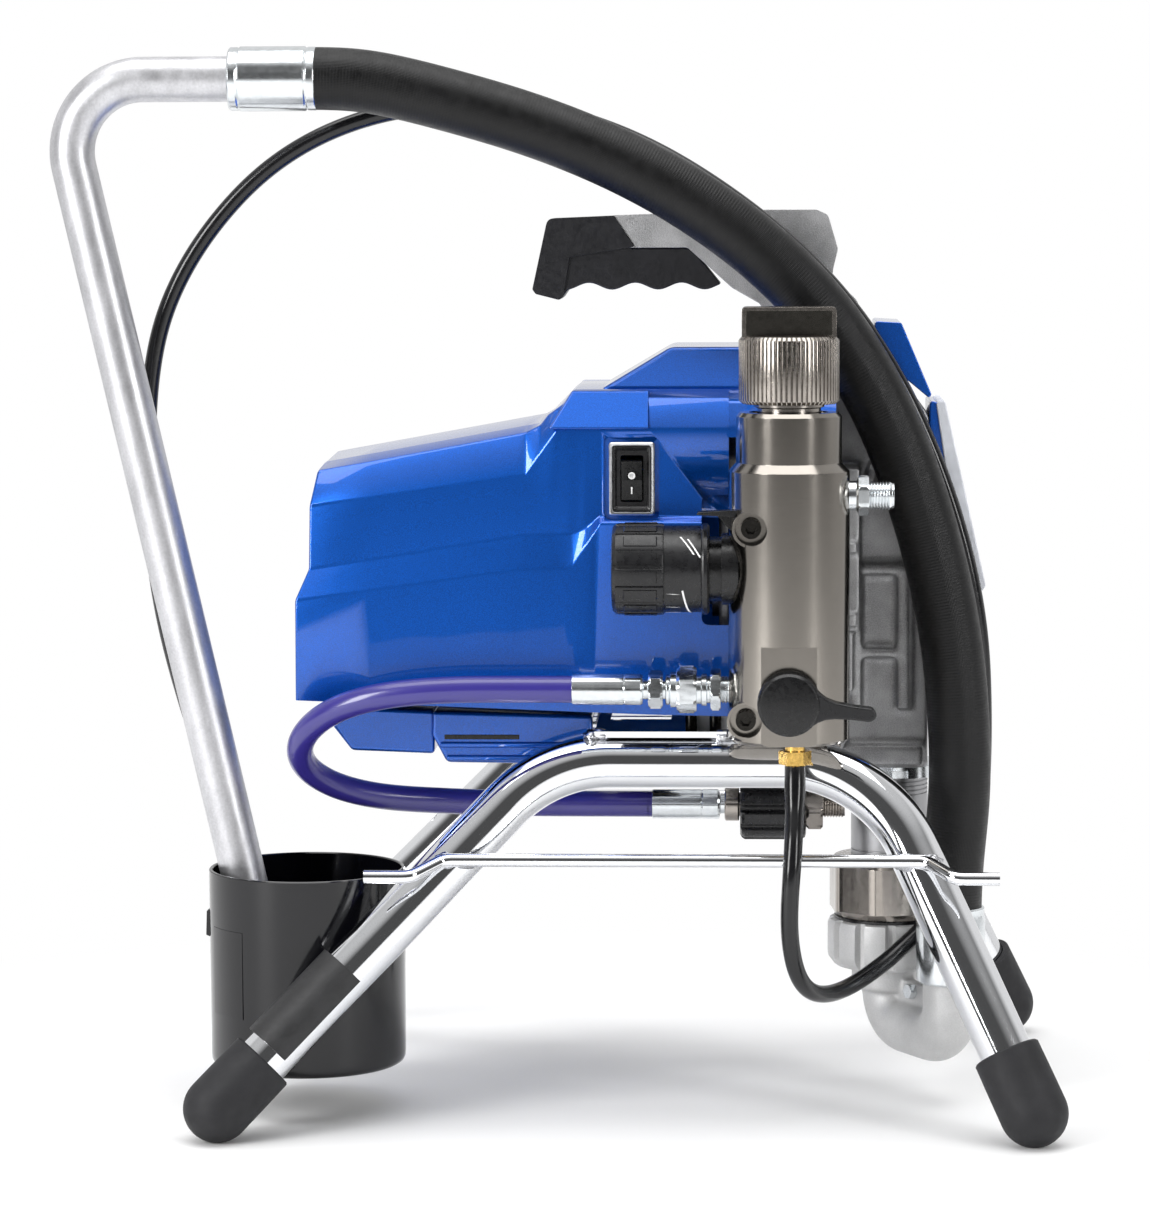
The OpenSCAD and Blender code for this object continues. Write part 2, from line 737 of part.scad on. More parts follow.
module jam_nut() color("silver")
  difference() {
    rod_z([pump_x, 0, 160], 5.9, 27);
    rod_z([pump_x, 0, 150], 30, cylinder_d / 2 + run);
    for (i = [0 : 7])
      translate([pump_x, 0, 0])
        rotate(i * 45 + 10)
          block([24.5, -4, 159], [30, 4, 164]);
  }

module intake_housing() color([0.7, 0.66, 0.62])
  difference() {
    union() {
      translate([pump_x, 0, nut_z + 25.5])
        rotate(22.5 + 8)
          intersection() {
            cylinder(h = 30, d = 57 / cos(22.5), $fn = 8);
            rotate_extrude()
              polygon([[0, 0], [27.5, 0], [30.6, 4], [30.6, 26], [27.5, 30], [0, 30]]);
          }
      rod_z([pump_x, 0, nut_z + 9], 18, 22);
    }
    rod_z([pump_x, 0, 95], 30, 12);
    rod_z([pump_x, 0, nut_z], 35, 9);
  }

module intake_seat() color("dimgray")
  difference() {
    rod_z([pump_x, 0, 95 + gap], 5, 12 - run);
    rod_z([pump_x, 0, 90], 12, 5);
  }

intake_ball_r = 8;
module intake_ball() color("lightgray")
  translate([pump_x, 0, 100 + gap + sqrt(intake_ball_r ^ 2 - 25) + 0.06])
    sphere(r = intake_ball_r);

module suction_seal() color([0.05, 0.05, 0.05])
  ring(pump_x, 0, nut_z + 24 + gap, 1.5 - 2 * gap, 22.3, 27.6);

module suction_nut() color([0.85, 0.85, 0.86])
  difference() {
    translate([pump_x, 0, nut_z])
      intersection() {
        fluted(30.5, 24, 12, 3, 7);
        rotate_extrude()
          polygon([[0, 0], [27, 0], [31, 4], [31, 22], [29.5, 24], [0, 24]]);
      }
    rod_z([pump_x, 0, nut_z + 4], 30, 22 + run);
    rod_z([pump_x, 0, nut_z - 10], 30, 18.8 + run);
  }

module suction_elbow() color([0.8, 0.8, 0.79]) {
  mid = ([pump_x, 0] + elbow_branch) / 2;
  turn_a = atan2(elbow_branch[1], elbow_branch[0] - pump_x);
  difference() {
    union() {
      translate([mid[0], mid[1], elbow_bend_z])
        rotate([90, 0, turn_a])
          rotate([0, 0, 180])
            rotate_extrude(angle = 180, $fn = 96)
              translate([elbow_r, 0])
                circle(r = 13.5);
      rod_z([pump_x, 0, 50], nut_z + 5 - 50, 18.8);
      rod_z([pump_x, 0, nut_z + 4 + gap], 4, 21.6);
      rod_z([elbow_branch[0], elbow_branch[1], elbow_bend_z - 1], 39, 9.6);
      // Web between the two legs of the casting, with a bolt boss
      translate([mid[0], mid[1], 0])
        rotate(turn_a)
          block([-elbow_r + 8, -3, elbow_bend_z - 16], [elbow_r - 8, 3, elbow_bend_z - 2]);
    }
    rod_z([pump_x, 0, 56], 30, 9);
    rod_z([elbow_branch[0], elbow_branch[1], elbow_bend_z + 2], 50, 7.5);
    translate([mid[0], mid[1], elbow_bend_z])
      rotate([90, 0, turn_a])
        rotate([0, 0, 181])
          rotate_extrude(angle = 178, $fn = 96)
            translate([elbow_r, 0])
              circle(r = 8);
  }
}

// ---------------------------------------------------------------- suction and drain lines

module hose_ferrules() color("silver") {
  difference() {
    rod_x([upper_ferrule_x, suction_y, suction_top_z], upper_ferrule_len, 15.6);
    rod_x([upper_ferrule_x + 5, suction_y, suction_top_z], 60, crimped_r + gap);
    rod_x([upper_ferrule_x - 5, suction_y, suction_top_z], 60, suction_tube_d / 2 + run);
  }
  difference() {
    rod_z([elbow_branch[0], elbow_branch[1], ferrule_z], ferrule_len, 17);
    rod_z([elbow_branch[0], elbow_branch[1], ferrule_z + 1.5], ferrule_len, suction_hose_d / 2 + 2 * gap);
    rod_z([elbow_branch[0], elbow_branch[1], ferrule_z - 4], ferrule_len, barb_r + 0.4);
  }
}

// The hose wall is 5.4 thick, and its upper end is crimped thinner inside the ferrule
hose_wall = 5.4;
crimped_r = 13.5;
barb_r = 9.6;
module suction_hose() color([0.1, 0.1, 0.1])
  difference() {
    tube(hose_path, 420, suction_hose_d / 2, hose_wall, $nest = 0.03);
    // The end that the collar crimps is pressed thinner
    difference() {
      rod_x([upper_ferrule_x, suction_y, suction_top_z], upper_ferrule_len + gap, 20);
      rod_x([upper_ferrule_x - bite, suction_y, suction_top_z], 60, crimped_r);
    }
  }

module suction_tube() color([0.8, 0.8, 0.81]) {
  tube(tube_path, 35, suction_tube_d / 2, 1.6);
  // Barb inside the crimped end of the hose
  difference() {
    rod_x([upper_ferrule_x - 4, suction_y, suction_top_z], upper_ferrule_len, barb_r);
    rod_x([upper_ferrule_x - 5, suction_y, suction_top_z], 60, 8);
  }
}

module inlet_strainer() color([0.2, 0.2, 0.22])
  translate(tube_path[2])
    rotate([0, -tube_slope, 0])
      difference() {
        translate([0, 0, -3])
          cylinder(h = 16, r = 14);
        translate([0, 0, -0.2])
          cylinder(h = 30, r = suction_tube_d / 2 + run);
        for (i = [0 : 11])
          rotate(i * 30)
            translate([7, -0.8, -8])
              cube([12, 1.6, 12]);
      }

drain_top = 177.5;
drain_path = [[117, manifold_y, drain_top], [117, manifold_y - 1, 160], [116, -122, 136], [113, -120, 95],
  [121.5, -106, 63.5], [150, -50.1, 60], [205, -18.2, 106], [212, -31, 170], [207.5, -37.2, 262],
  [170, -37, 363], [115, -36.5, 431], [26, -34, 488], [-62, -34, 498], [-132, -34, 476], [-181, -36, 425],
  [-204, -37, 366], [-202, -37, 262], [-180, -37, 178], [-158, -38, 126], [-149, -40, 70]];
module drain_hose() color([0.07, 0.07, 0.07])
  difference() {
    union() {
      pipe(drain_path, bends(drain_path, 110), drain_hose_d / 2);
      rod_z([117, manifold_y, drain_top - 14.5], 14, 5.2);
    }
    rod_z([117, manifold_y, drain_top - 5.5], 10, 2.6);
  }

module drain_fitting() color([0.8, 0.62, 0.2])
  difference() {
    union() {
      rod_z([117, manifold_y, 184], 12, 4.8);
      translate([117, manifold_y, 178])
        cylinder(h = 6.5, d = 13.5 / cos(30), $fn = 6);
      rod_z([117, manifold_y, 173], 6, 2.5);
    }
    rod_z([117, manifold_y, 160], 60, 1.5);
  }

// ---------------------------------------------------------------- manifold and filter

manifold_bolt_places = [[96, 292.5], [93.5, 201]];
module filter_manifold() color([0.66, 0.63, 0.58])
  difference() {
    union() {
      translate([manifold_x, manifold_y, 0])
        rotate_extrude()
          polygon([[0, man_z0], [manifold_r - 1.5, man_z0], [manifold_r, man_z0 + 1.5], [manifold_r, man_z1],
            [25.2, man_z1 + 4], [25.2, man_top - 2], [23.5, man_top], [0, man_top]]);
      block([100, manifold_y, man_z0 + 6], [136, -75, 312]);
      for (p = manifold_bolt_places)
        rod_y([p[0], manifold_y - 20, p[1]], -75 - manifold_y + 20, 9);
    }
    // Filter bowl and cap thread
    rod_z([manifold_x, manifold_y, 240], 120, 14);
    rod_z([manifold_x, manifold_y, 322], 60, 19 + run);
    rod_z([manifold_x, manifold_y, 222], 20, 4);
    // Flat pocket for the prime valve, and its port
    block([manifold_x - 14, manifold_y - 40, 180], [manifold_x + 14, pocket_y, 237]);
    rod_y([manifold_x, manifold_y - 40, valve_z], 40, 8 + run);
    rod_z([117, manifold_y, 180], 25, 4.85);
    // Paint outlet, hose inlet and pressure control ports
    rod_x([manifold_x, manifold_y, outlet_z], 60, 6 + run);
    rod_x([manifold_x - 60, manifold_y, paint_hose_z], 50, 6 + run);
    rod_x([manifold_x - 60, manifold_y, knob_z], 45, 8 + run);
    for (p = manifold_bolt_places) {
      rod_y([p[0], manifold_y - 30, p[1]], 60, 3.2);
      rod_y([p[0], manifold_y - 40, p[1]], 28, 7.6);
    }
  }

module manifold_bolts() color([0.1, 0.1, 0.1])
  for (p = manifold_bolt_places)
    translate([p[0], manifold_y - 12 - gap, p[1]])
      rotate([90, 0, 0])
        socket_screw(6, 58);

module filter_cap() color([0.72, 0.7, 0.66])
  difference() {
    translate([manifold_x, manifold_y, 0]) {
      rod_z([0, 0, 326], 20, 19);
      rod_z([0, 0, 345], 7, 15.5);
      translate([0, 0, 351])
        intersection() {
          fluted(23.7, 32, 60, 0.6, 1);
          rotate_extrude()
            polygon([[0, 0], [22.5, 0], [24, 1.5], [24, 30.5], [22.5, 32], [0, 32]]);
        }
      block([-22.7, -9, 382], [22.7, 9, 397]);
    }
    rod_z([manifold_x, manifold_y, 320], 20, 13);
  }

module filter_element() color([0.9, 0.9, 0.88])
  difference() {
    rod_z([manifold_x, manifold_y, 245], 88, 11);
    rod_z([manifold_x, manifold_y, 240], 88, 9);
    for (i = [0 : 5], k = [0 : 5])
      translate([manifold_x, manifold_y, 252 + 12 * k])
        rotate(60 * i)
          translate([0, -2, 0])
            cube([20, 4, 9]);
  }

module outlet_nipple() color("silver")
  difference() {
    union() {
      rod_x([manifold_x + manifold_r - 6, manifold_y, outlet_z], 16, 6);
      hex_x([147, manifold_y, outlet_z], 6, 16.7);
      rod_x([152.5, manifold_y, outlet_z], 11.5, outlet_thread_d / 2);
    }
    rod_x([100, manifold_y, outlet_z], 80, 3.2);
  }

module valve_base() color([0.68, 0.66, 0.63])
  difference() {
    union() {
      rod_y([manifold_x, pocket_y - 1, valve_z], 21, 8);
      rod_y([manifold_x, pocket_y - 2.4, valve_z], 2.3, 13);
    }
    rod_y([manifold_x, pocket_y - 10, valve_z], 24, 3.5 + run);
  }

lever_tilt = 6;
module valve_handle() color([0.08, 0.08, 0.08]) {
  front = pocket_y - 15;
  rod_y([manifold_x, front, valve_z], 12.4, 14.5);
  rod_y([manifold_x, front + 10, valve_z], 12, 3.5);
  translate([manifold_x, front + 4, valve_z])
    rotate([0, lever_tilt, 0])
      slab([[0, -12], [17, -4.2], [38, -3.4], [41, -1], [41, 1.5], [38, 3.6], [17, 5.4], [0, 12]], 0, 7);
}

module pressure_control() color([0.07, 0.07, 0.07]) {
  difference() {
    union() {
      rod_x([76 + gap, manifold_y, knob_z], 7, 15.5);
      rod_x([82, manifold_y, knob_z], 8, 17.2);
    }
    rod_z([manifold_x, manifold_y, knob_z - 30], 60, manifold_r + gap);
  }
  rod_x([60, manifold_y, knob_z], 30, 4);
  rod_x([88, manifold_y, knob_z], 10, 8);
}

module pressure_knob() color([0.1, 0.1, 0.1])
  difference() {
    union() {
      translate([29, manifold_y, knob_z])
        rotate([0, 90, 0])
          fluted(21.9, 25.5, 24, 1.4, 2.2);
      rod_x([54, manifold_y, knob_z], 18.5, 20.6);
      rod_x([72, manifold_y, knob_z], 4, 21.9);
    }
    rod_x([58, manifold_y, knob_z], 30, 4 + run);
  }

module pointer_bracket() color([0.06, 0.06, 0.06])
  difference() {
    union() {
      block([70, manifold_y - 12, 299], [90, manifold_y + 6, 300.6]);
      slab([[78, 300], [88, 300], [88, 308]], manifold_y + 4, manifold_y + 6);
    }
    rod_z([manifold_x, manifold_y, 290], 20, manifold_r + gap);
    rod_y([manifold_bolt_places[0][0], manifold_y - 40, manifold_bolt_places[0][1]], 60, 9 + gap);
  }

// ---------------------------------------------------------------- high-pressure hose

paint_hose_start = [12, manifold_y, paint_hose_z];
paint_hose_path = [paint_hose_start, [-72, manifold_y, paint_hose_z], [-114, -92, 201], [-131, -68, 175],
  [-104, -40, 153], [-44, -13, coupler_z + 1], [-10, coupler_y, coupler_z], [44, coupler_y, coupler_z]];
module paint_hose() color([0.2, 0.15, 0.5])
  tube(paint_hose_path, 120, paint_hose_d / 2, 3.3);

module paint_hose_fittings() color("silver") {
  difference() {
    union() {
      rod_x([10, manifold_y, paint_hose_z], 35, 7.4);
      rod_x([44, manifold_y, paint_hose_z], 4, 5);
      hex_x([47, manifold_y, paint_hose_z], 6.5, 16);
      rod_x([53, manifold_y, paint_hose_z], 15, 5);
    }
    rod_x([5, manifold_y, paint_hose_z], 35, paint_hose_d / 2 + gap);
    rod_x([5, manifold_y, paint_hose_z], 80, 2.5);
  }
  difference() {
    union() {
      rod_x([45.7, coupler_y, coupler_z], 34, 7.4);
      rod_x([79, coupler_y, coupler_z], 4, 5);
      rod_x([82, coupler_y, coupler_z], 7.5, 8.5);
      rod_x([89, coupler_y, coupler_z], 20, 6);
    }
    rod_x([40, coupler_y, coupler_z], 35, paint_hose_d / 2 + gap);
    rod_x([40, coupler_y, coupler_z], 80, 2.5);
  }
}

module swivel_nut() color("silver")
  difference() {
    union() {
      hex_x([60, manifold_y, paint_hose_z], 10, 20);
      rod_x([55, manifold_y, paint_hose_z], 6, 8.6);
    }
    rod_x([50, manifold_y, paint_hose_z], 30, 5 + run);
    rod_x([64, manifold_y, paint_hose_z], 30, 7 + run);
  }

module hose_adapter() color("silver")
  difference() {
    union() {
      rod_x([69, manifold_y, paint_hose_z], 8, 7);
      hex_x([76, manifold_y, paint_hose_z], 5, 18);
      rod_x([80, manifold_y, paint_hose_z], 14, 6);
    }
    rod_x([60, manifold_y, paint_hose_z], 60, 2.5);
  }

module coupler_knob() color([0.06, 0.06, 0.07])
  difference() {
    union() {
      translate([90, coupler_y, coupler_z])
        rotate([0, 90, 0])
          fluted(18, 33, 8, 3, 5);
      hex_x([122.5, coupler_y, coupler_z], 8.5, 22);
    }
    rod_x([80, coupler_y, coupler_z], 30, 6 + run);
    rod_x([109.5, coupler_y, coupler_z], 30, 6.8 + run);
  }

// ---------------------------------------------------------------- power switch and electronics

module switch_bezel() color([0.75, 0.76, 0.78])
  difference() {
    union() {
      block([switch_c[0] - 11.2, -72, switch_c[1] - 18.5],
        [switch_c[0] + 11.2, -upper_half - gap, switch_c[1] + 18.5]);
      block([switch_c[0] - 9, -71, switch_c[1] - 16], [switch_c[0] + 9, -52, switch_c[1] + 16]);
    }
    block([switch_c[0] - 5.4, -80, switch_c[1] - 11.2], [switch_c[0] + 5.4, -58, switch_c[1] + 11.2]);
    rod_x([switch_c[0] - 6.6, rocker_y, switch_c[1]], 13.2, rocker_pin_r + run);
  }

rocker_rest = 10;
rocker_y = -67;
rocker_pin_r = 1.2;
module power_rocker() color([0.05, 0.05, 0.05])
  translate([switch_c[0], rocker_y, switch_c[1]])
    rotate([rocker_rest, 0, 0]) {
      bar([[-5.5, -9.6], [-4.2, 0], [-5.5, 9.6], [0, 9.2], [3, 0], [0, -9.2]], -5, 5);
      rod_x([-6.4, 0, 0], 12.8, rocker_pin_r);
    }

module control_board() color([0.1, 0.35, 0.15]) {
  block([20, -40, 300], [56, 40, 301.6]);
  block([26, -30, 301], [44, -10, 315]);
  rod_z([38, 10, 301], 18, 8);
}

side_frames();
mounting_plate();
hose_racks();
rubber_feet();
frame_bolts();
drip_cup();
cup_clip();
clip_screws();
motor_shroud();
top_cover();
lower_pan();
front_cover();
front_cap();
drive_housing();
handle_arm();
handle_grip();
handle_screws();
motor_can();
armature();
cooling_fan();
motor_bearings();
intermediate_gear();
crank_gear();
connecting_rod();
wrist_pin();
displacement_rod();
rod_packings();
pump_cylinder();
jam_nut();
intake_housing();
intake_seat();
intake_ball();
piston_ball();
suction_seal();
suction_nut();
suction_elbow();
hose_ferrules();
suction_hose();
suction_tube();
inlet_strainer();
drain_hose();
drain_fitting();
filter_manifold();
manifold_bolts();
filter_cap();
filter_element();
outlet_nipple();
pressure_control();
pressure_knob();
pointer_bracket();
valve_base();
valve_handle();
paint_hose();
paint_hose_fittings();
swivel_nut();
hose_adapter();
coupler_knob();
switch_bezel();
power_rocker();
control_board();
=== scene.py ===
"""Looks of the airless paint sprayer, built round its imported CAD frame.

Lengths in this script are millimetres; mesh_piece() turns them into metres. +X points to the pump,
-Y to the manifold and the camera, +Z up, with the floor at Z = 0.
"""
import json
from math import cos, pi, radians, sin, tan, tau

import bmesh
import bpy
from mathutils import Matrix, Vector


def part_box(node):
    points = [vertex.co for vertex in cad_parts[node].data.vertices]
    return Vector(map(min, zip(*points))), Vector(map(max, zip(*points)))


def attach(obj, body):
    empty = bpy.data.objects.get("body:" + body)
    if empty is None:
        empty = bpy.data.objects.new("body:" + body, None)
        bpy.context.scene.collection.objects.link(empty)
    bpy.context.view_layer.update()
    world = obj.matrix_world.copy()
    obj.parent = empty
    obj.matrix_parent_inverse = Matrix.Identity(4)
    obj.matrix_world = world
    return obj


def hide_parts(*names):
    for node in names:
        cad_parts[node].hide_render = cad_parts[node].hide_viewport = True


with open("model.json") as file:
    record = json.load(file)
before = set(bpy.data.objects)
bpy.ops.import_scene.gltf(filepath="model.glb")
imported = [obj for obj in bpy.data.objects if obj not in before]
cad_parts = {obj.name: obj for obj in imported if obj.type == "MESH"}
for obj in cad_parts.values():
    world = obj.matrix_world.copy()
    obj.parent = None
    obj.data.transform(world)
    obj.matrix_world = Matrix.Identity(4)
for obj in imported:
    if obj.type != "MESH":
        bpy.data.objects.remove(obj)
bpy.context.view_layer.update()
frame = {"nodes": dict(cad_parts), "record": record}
MM = 0.001


# ---------------------------------------------------------------- places read from the frame

def span(node):
    """Lowest and highest corner of a CAD node, in millimetres."""
    low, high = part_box(node)
    return low / MM, high / MM


def centre(node):
    low, high = span(node)
    return (low + high) / 2


SOLES = {m["name"]: Vector(m["pos_m"]) / MM for m in frame["record"]["mounts"] if "sole" in m["name"]}
MANIFOLD = centre("filter_cap").xy
KNOB_X = span("pressure_knob")[0].x
KNOB_Z = centre("pressure_knob").z
PAINT_HOSE_Z = centre("swivel_nut").z
COUPLER = centre("coupler_knob")
PUMP_X = centre("pump_cylinder").x
SWITCH = centre("switch_bezel")
TUBE_R = 12.7
FRAME_TOP = span("side_frames")[1].z - TUBE_R
FOOT_R = 16.5
TOP_HALF = 78
HOSE_R = 15.2


# ---------------------------------------------------------------- shapes: (vertices, faces)

def grid_faces(rows, columns, wrap=True):
    """Quads between consecutive rings of points."""
    last = columns if wrap else columns - 1
    return [(i * columns + j, i * columns + (j + 1) % columns, (i + 1) * columns + (j + 1) % columns,
             (i + 1) * columns + j) for i in range(rows - 1) for j in range(last)]


def join(*shapes):
    verts, faces = [], []
    for v, f in shapes:
        faces += [tuple(i + len(verts) for i in face) for face in f]
        verts += v
    return verts, faces


def moved(shape, offset):
    return [Vector(v) + Vector(offset) for v in shape[0]], shape[1]


def aimed(shape, origin, axis, spin=0.0):
    """Turns a shape made about +Z so that it stands on origin along axis."""
    turn = Vector((0, 0, 1)).rotation_difference(Vector(axis)).to_matrix() @ Matrix.Rotation(spin, 3, "Z")
    return [turn @ Vector(v) + Vector(origin) for v in shape[0]], shape[1]


def along_x(shape, origin, spin=0.0):
    """Lays a shape made about +Z along +X, from origin."""
    turn = Matrix(((0, 0, 1), (1, 0, 0), (0, 1, 0))) @ Matrix.Rotation(spin, 3, "Z")
    return [turn @ Vector(v) + Vector(origin) for v in shape[0]], shape[1]


def turned(profile, section=None, steps=72):
    """A solid turned about Z from (radius, height) points. section(angle) limits the radius."""
    verts = []
    for r, z in profile:
        for k in range(steps):
            a = tau * k / steps
            limit = r if section is None else min(r, section(a))
            verts.append(Vector((limit * cos(a), limit * sin(a), z)))
    faces = grid_faces(len(profile), steps)
    if profile[0][0] > 0:
        faces.append(tuple(range(steps - 1, -1, -1)))
    if profile[-1][0] > 0:
        faces.append(tuple(range((len(profile) - 1) * steps, len(profile) * steps)))
    return verts, faces


def lathe_x(profile, origin, section=None, spin=0.0, steps=96):
    return along_x(turned(profile, section, steps), origin, spin)


def polygon_section(sides, flats):
    """Radius of a regular polygon by its width across flats."""
    return lambda a: flats / 2 / cos((a % (tau / sides)) - pi / sides)


def fluted_section(radius, count, depth, share=0.45):
    """Radius of a bar with long grooves, share of each pitch being groove."""
    def at(a):
        phase = (a * count / tau) % 1
        edge = min(phase, 1 - phase) * 2
        return radius - depth * min(1, max(0, (share - edge) * 5))
    return at


def rounded(points, radius, steps=4):
    """A closed 2-D outline with its corners rounded; radius may be one number or one per corner."""
    out, n = [], len(points)
    for i, p in enumerate(points):
        p = Vector(p)
        a, b = Vector(points[i - 1]) - p, Vector(points[(i + 1) % n]) - p
        r = radius[i] if isinstance(radius, (list, tuple)) else radius
        half = a.angle(b) / 2
        reach = min(r / tan(half), 0.45 * min(a.length, b.length)) if r else 0
        if reach < 0.01:
            out.append(p)
            continue
        start, end = p + a.normalized() * reach, p + b.normalized() * reach
        out += [start.lerp(p, t).lerp(p.lerp(end, t), t) for t in (k / steps for k in range(steps + 1))]
    return out


def box_outline(x0, z0, x1, z1):
    return [(x0, z0), (x1, z0), (x1, z1), (x0, z1)]


def prism(outline, low, high, axis="Y"):
    """Extrudes an outline between two levels: (x, z) along Y or (y, z) along X."""
    n = len(outline)
    verts = [Vector((a, t, b) if axis == "Y" else (t, a, b)) for t in (low, high) for a, b in outline]
    return verts, grid_faces(2, n) + [tuple(range(n - 1, -1, -1)), tuple(range(n, 2 * n))]


def block(low, high):
    return prism(box_outline(low[0], low[2], high[0], high[2]), low[1], high[1])


def loft(rings, wrap=True, caps=True):
    """Skins rings of points that all have the same length."""
    n = len(rings[0])
    faces = grid_faces(len(rings), n, wrap)
    if caps:
        faces += [tuple(range(n - 1, -1, -1)), tuple(range((len(rings) - 1) * n, len(rings) * n))]
    return [Vector(p) for ring in rings for p in ring], faces


def filleted(points, radius, step=3.0):
    """A 3-D path of straight lines and true arcs."""
    pts = [Vector(p) for p in points]
    out = [pts[0]]
    for before, p, after in zip(pts, pts[1:], pts[2:]):
        a, b = (before - p).normalized(), (after - p).normalized()
        turn = pi - a.angle(b)
        if turn < 0.01:
            continue
        reach = min(radius * tan(turn / 2), 0.48 * min((before - p).length, (after - p).length))
        r = reach / tan(turn / 2)
        middle = p + (a + b).normalized() * (r / cos(turn / 2))
        start, end = p + a * reach - middle, p + b * reach - middle
        count = max(3, int(r * turn / step))
        for k in range(count + 1):
            t = k / count
            out.append(middle + (start * sin((1 - t) * turn) + end * sin(t * turn)) / sin(turn))
    return out + [pts[-1]]


def relaxed(points, step=4.0, rounds=40):
    """A smooth hose line that keeps its two end directions and stays close to its guide points."""
    pts = [Vector(p) for p in points]
    for _ in range(4):
        cut = [pts[0]]
        for a, b in zip(pts, pts[1:]):
            cut += [a.lerp(b, 0.25), a.lerp(b, 0.75)]
        pts = cut + [pts[-1]]
    pts = resampled(pts, step)
    for _ in range(rounds):
        pts = pts[:2] + [a.lerp(c, 0.5).lerp(b, 0.5) for a, b, c in zip(pts[1:], pts[2:], pts[3:])] + pts[-2:]
    return pts


def resampled(pts, step):
    length = sum((b - a).length for a, b in zip(pts, pts[1:]))
    count = max(2, round(length / step))
    out, gone, k = [pts[0]], 0.0, 0
    for i in range(1, count):
        goal = length * i / count
        while gone + (pts[k + 1] - pts[k]).length < goal:
            gone += (pts[k + 1] - pts[k]).length
            k += 1
        edge = pts[k + 1] - pts[k]
        out.append(pts[k] + edge * ((goal - gone) / edge.length))
    return out + [pts[-1]]


def sweep(path, radius, around=32):
    """A round bar along a path, with radius a number or a function of the distance along it.
    Returns the shape and the distance along the path of each ring."""
    last = len(path) - 1
    tangents = [(path[min(i + 1, last)] - path[max(i - 1, 0)]).normalized() for i in range(len(path))]
    side = tangents[0].orthogonal().normalized()
    rings, gone, travelled = [], 0.0, []
    for i, (p, t) in enumerate(zip(path, tangents)):
        if i:
            gone += (p - path[i - 1]).length
            side = tangents[i - 1].rotation_difference(t) @ side
        side = (side - t * side.dot(t)).normalized()
        other = t.cross(side)
        r = radius(gone) if callable(radius) else radius
        angles = [tau * k / around for k in range(around)]
        rings.append([p + (side * cos(a) + other * sin(a)) * r for a in angles])
        travelled.append(gone)
    return loft(rings), travelled


# ---------------------------------------------------------------- pieces

def new_object(name, shape, weld=True):
    """An object with consistent normals, made from a shape in millimetres."""
    mesh = bpy.data.meshes.new(name)
    mesh.from_pydata([Vector(v) * MM for v in shape[0]], [], shape[1])
    work = bmesh.new()
    work.from_mesh(mesh)
    if weld:
        bmesh.ops.remove_doubles(work, verts=work.verts, dist=1e-6)
    bmesh.ops.recalc_face_normals(work, faces=work.faces)
    work.to_mesh(mesh)
    work.free()
    obj = bpy.data.objects.new(name, mesh)
    bpy.context.scene.collection.objects.link(obj)
    return obj


def mesh_piece(name, shape, material, stands_for=(), bevel=0.0, sharp=35, tilt=28, body="machine"):
    obj = new_object(name, shape)
    obj.data.shade_smooth()
    obj.data.materials.append(material)
    if bevel:
        soften(obj, bevel, tilt)
    else:
        obj.data.set_sharp_from_angle(angle=radians(sharp))
    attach(obj, body)
    for node in stands_for:
        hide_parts(node)
    return obj


def soften(obj, width, tilt=28, segments=3):
    edge = obj.modifiers.new("rounded_edges", "BEVEL")
    edge.width = width * MM
    edge.segments = segments
    edge.limit_method = "ANGLE"
    edge.angle_limit = radians(tilt)
    edge.harden_normals = True
    edge.use_clamp_overlap = True


def cut(obj, shape, name):
    """Cuts a shape out of a piece for good."""
    cutter = new_object(name, shape, weld=False)
    step = obj.modifiers.new("cut", "BOOLEAN")
    step.operation = "DIFFERENCE"
    step.solver = "MANIFOLD"
    step.object = cutter
    settle(obj)
    bpy.data.objects.remove(cutter)


def settle(obj):
    """Applies the piece's modifiers."""
    bpy.context.view_layer.update()
    mesh = bpy.data.meshes.new_from_object(obj.evaluated_get(bpy.context.evaluated_depsgraph_get()))
    obj.modifiers.clear()
    obj.data = mesh


def cast(obj, voxel=1.2, rounds=5):
    """Melts overlapping shapes into one soft-edged casting."""
    skin = obj.modifiers.new("skin", "REMESH")
    skin.mode = "VOXEL"
    skin.voxel_size = voxel * MM
    smooth = obj.modifiers.new("smooth", "SMOOTH")
    smooth.factor = 0.5
    smooth.iterations = rounds
    settle(obj)
    obj.data.shade_smooth()


# ---------------------------------------------------------------- materials

def add_node(tree, kind, inputs, **settings):
    """A new shader node; each input takes a value or another node's output."""
    node = tree.nodes.new("ShaderNode" + kind)
    for key, value in settings.items():
        setattr(node, key, value)
    for key, value in inputs.items():
        if isinstance(value, bpy.types.NodeSocket):
            tree.links.new(value, node.inputs[key])
        else:
            node.inputs[key].default_value = value
    return node


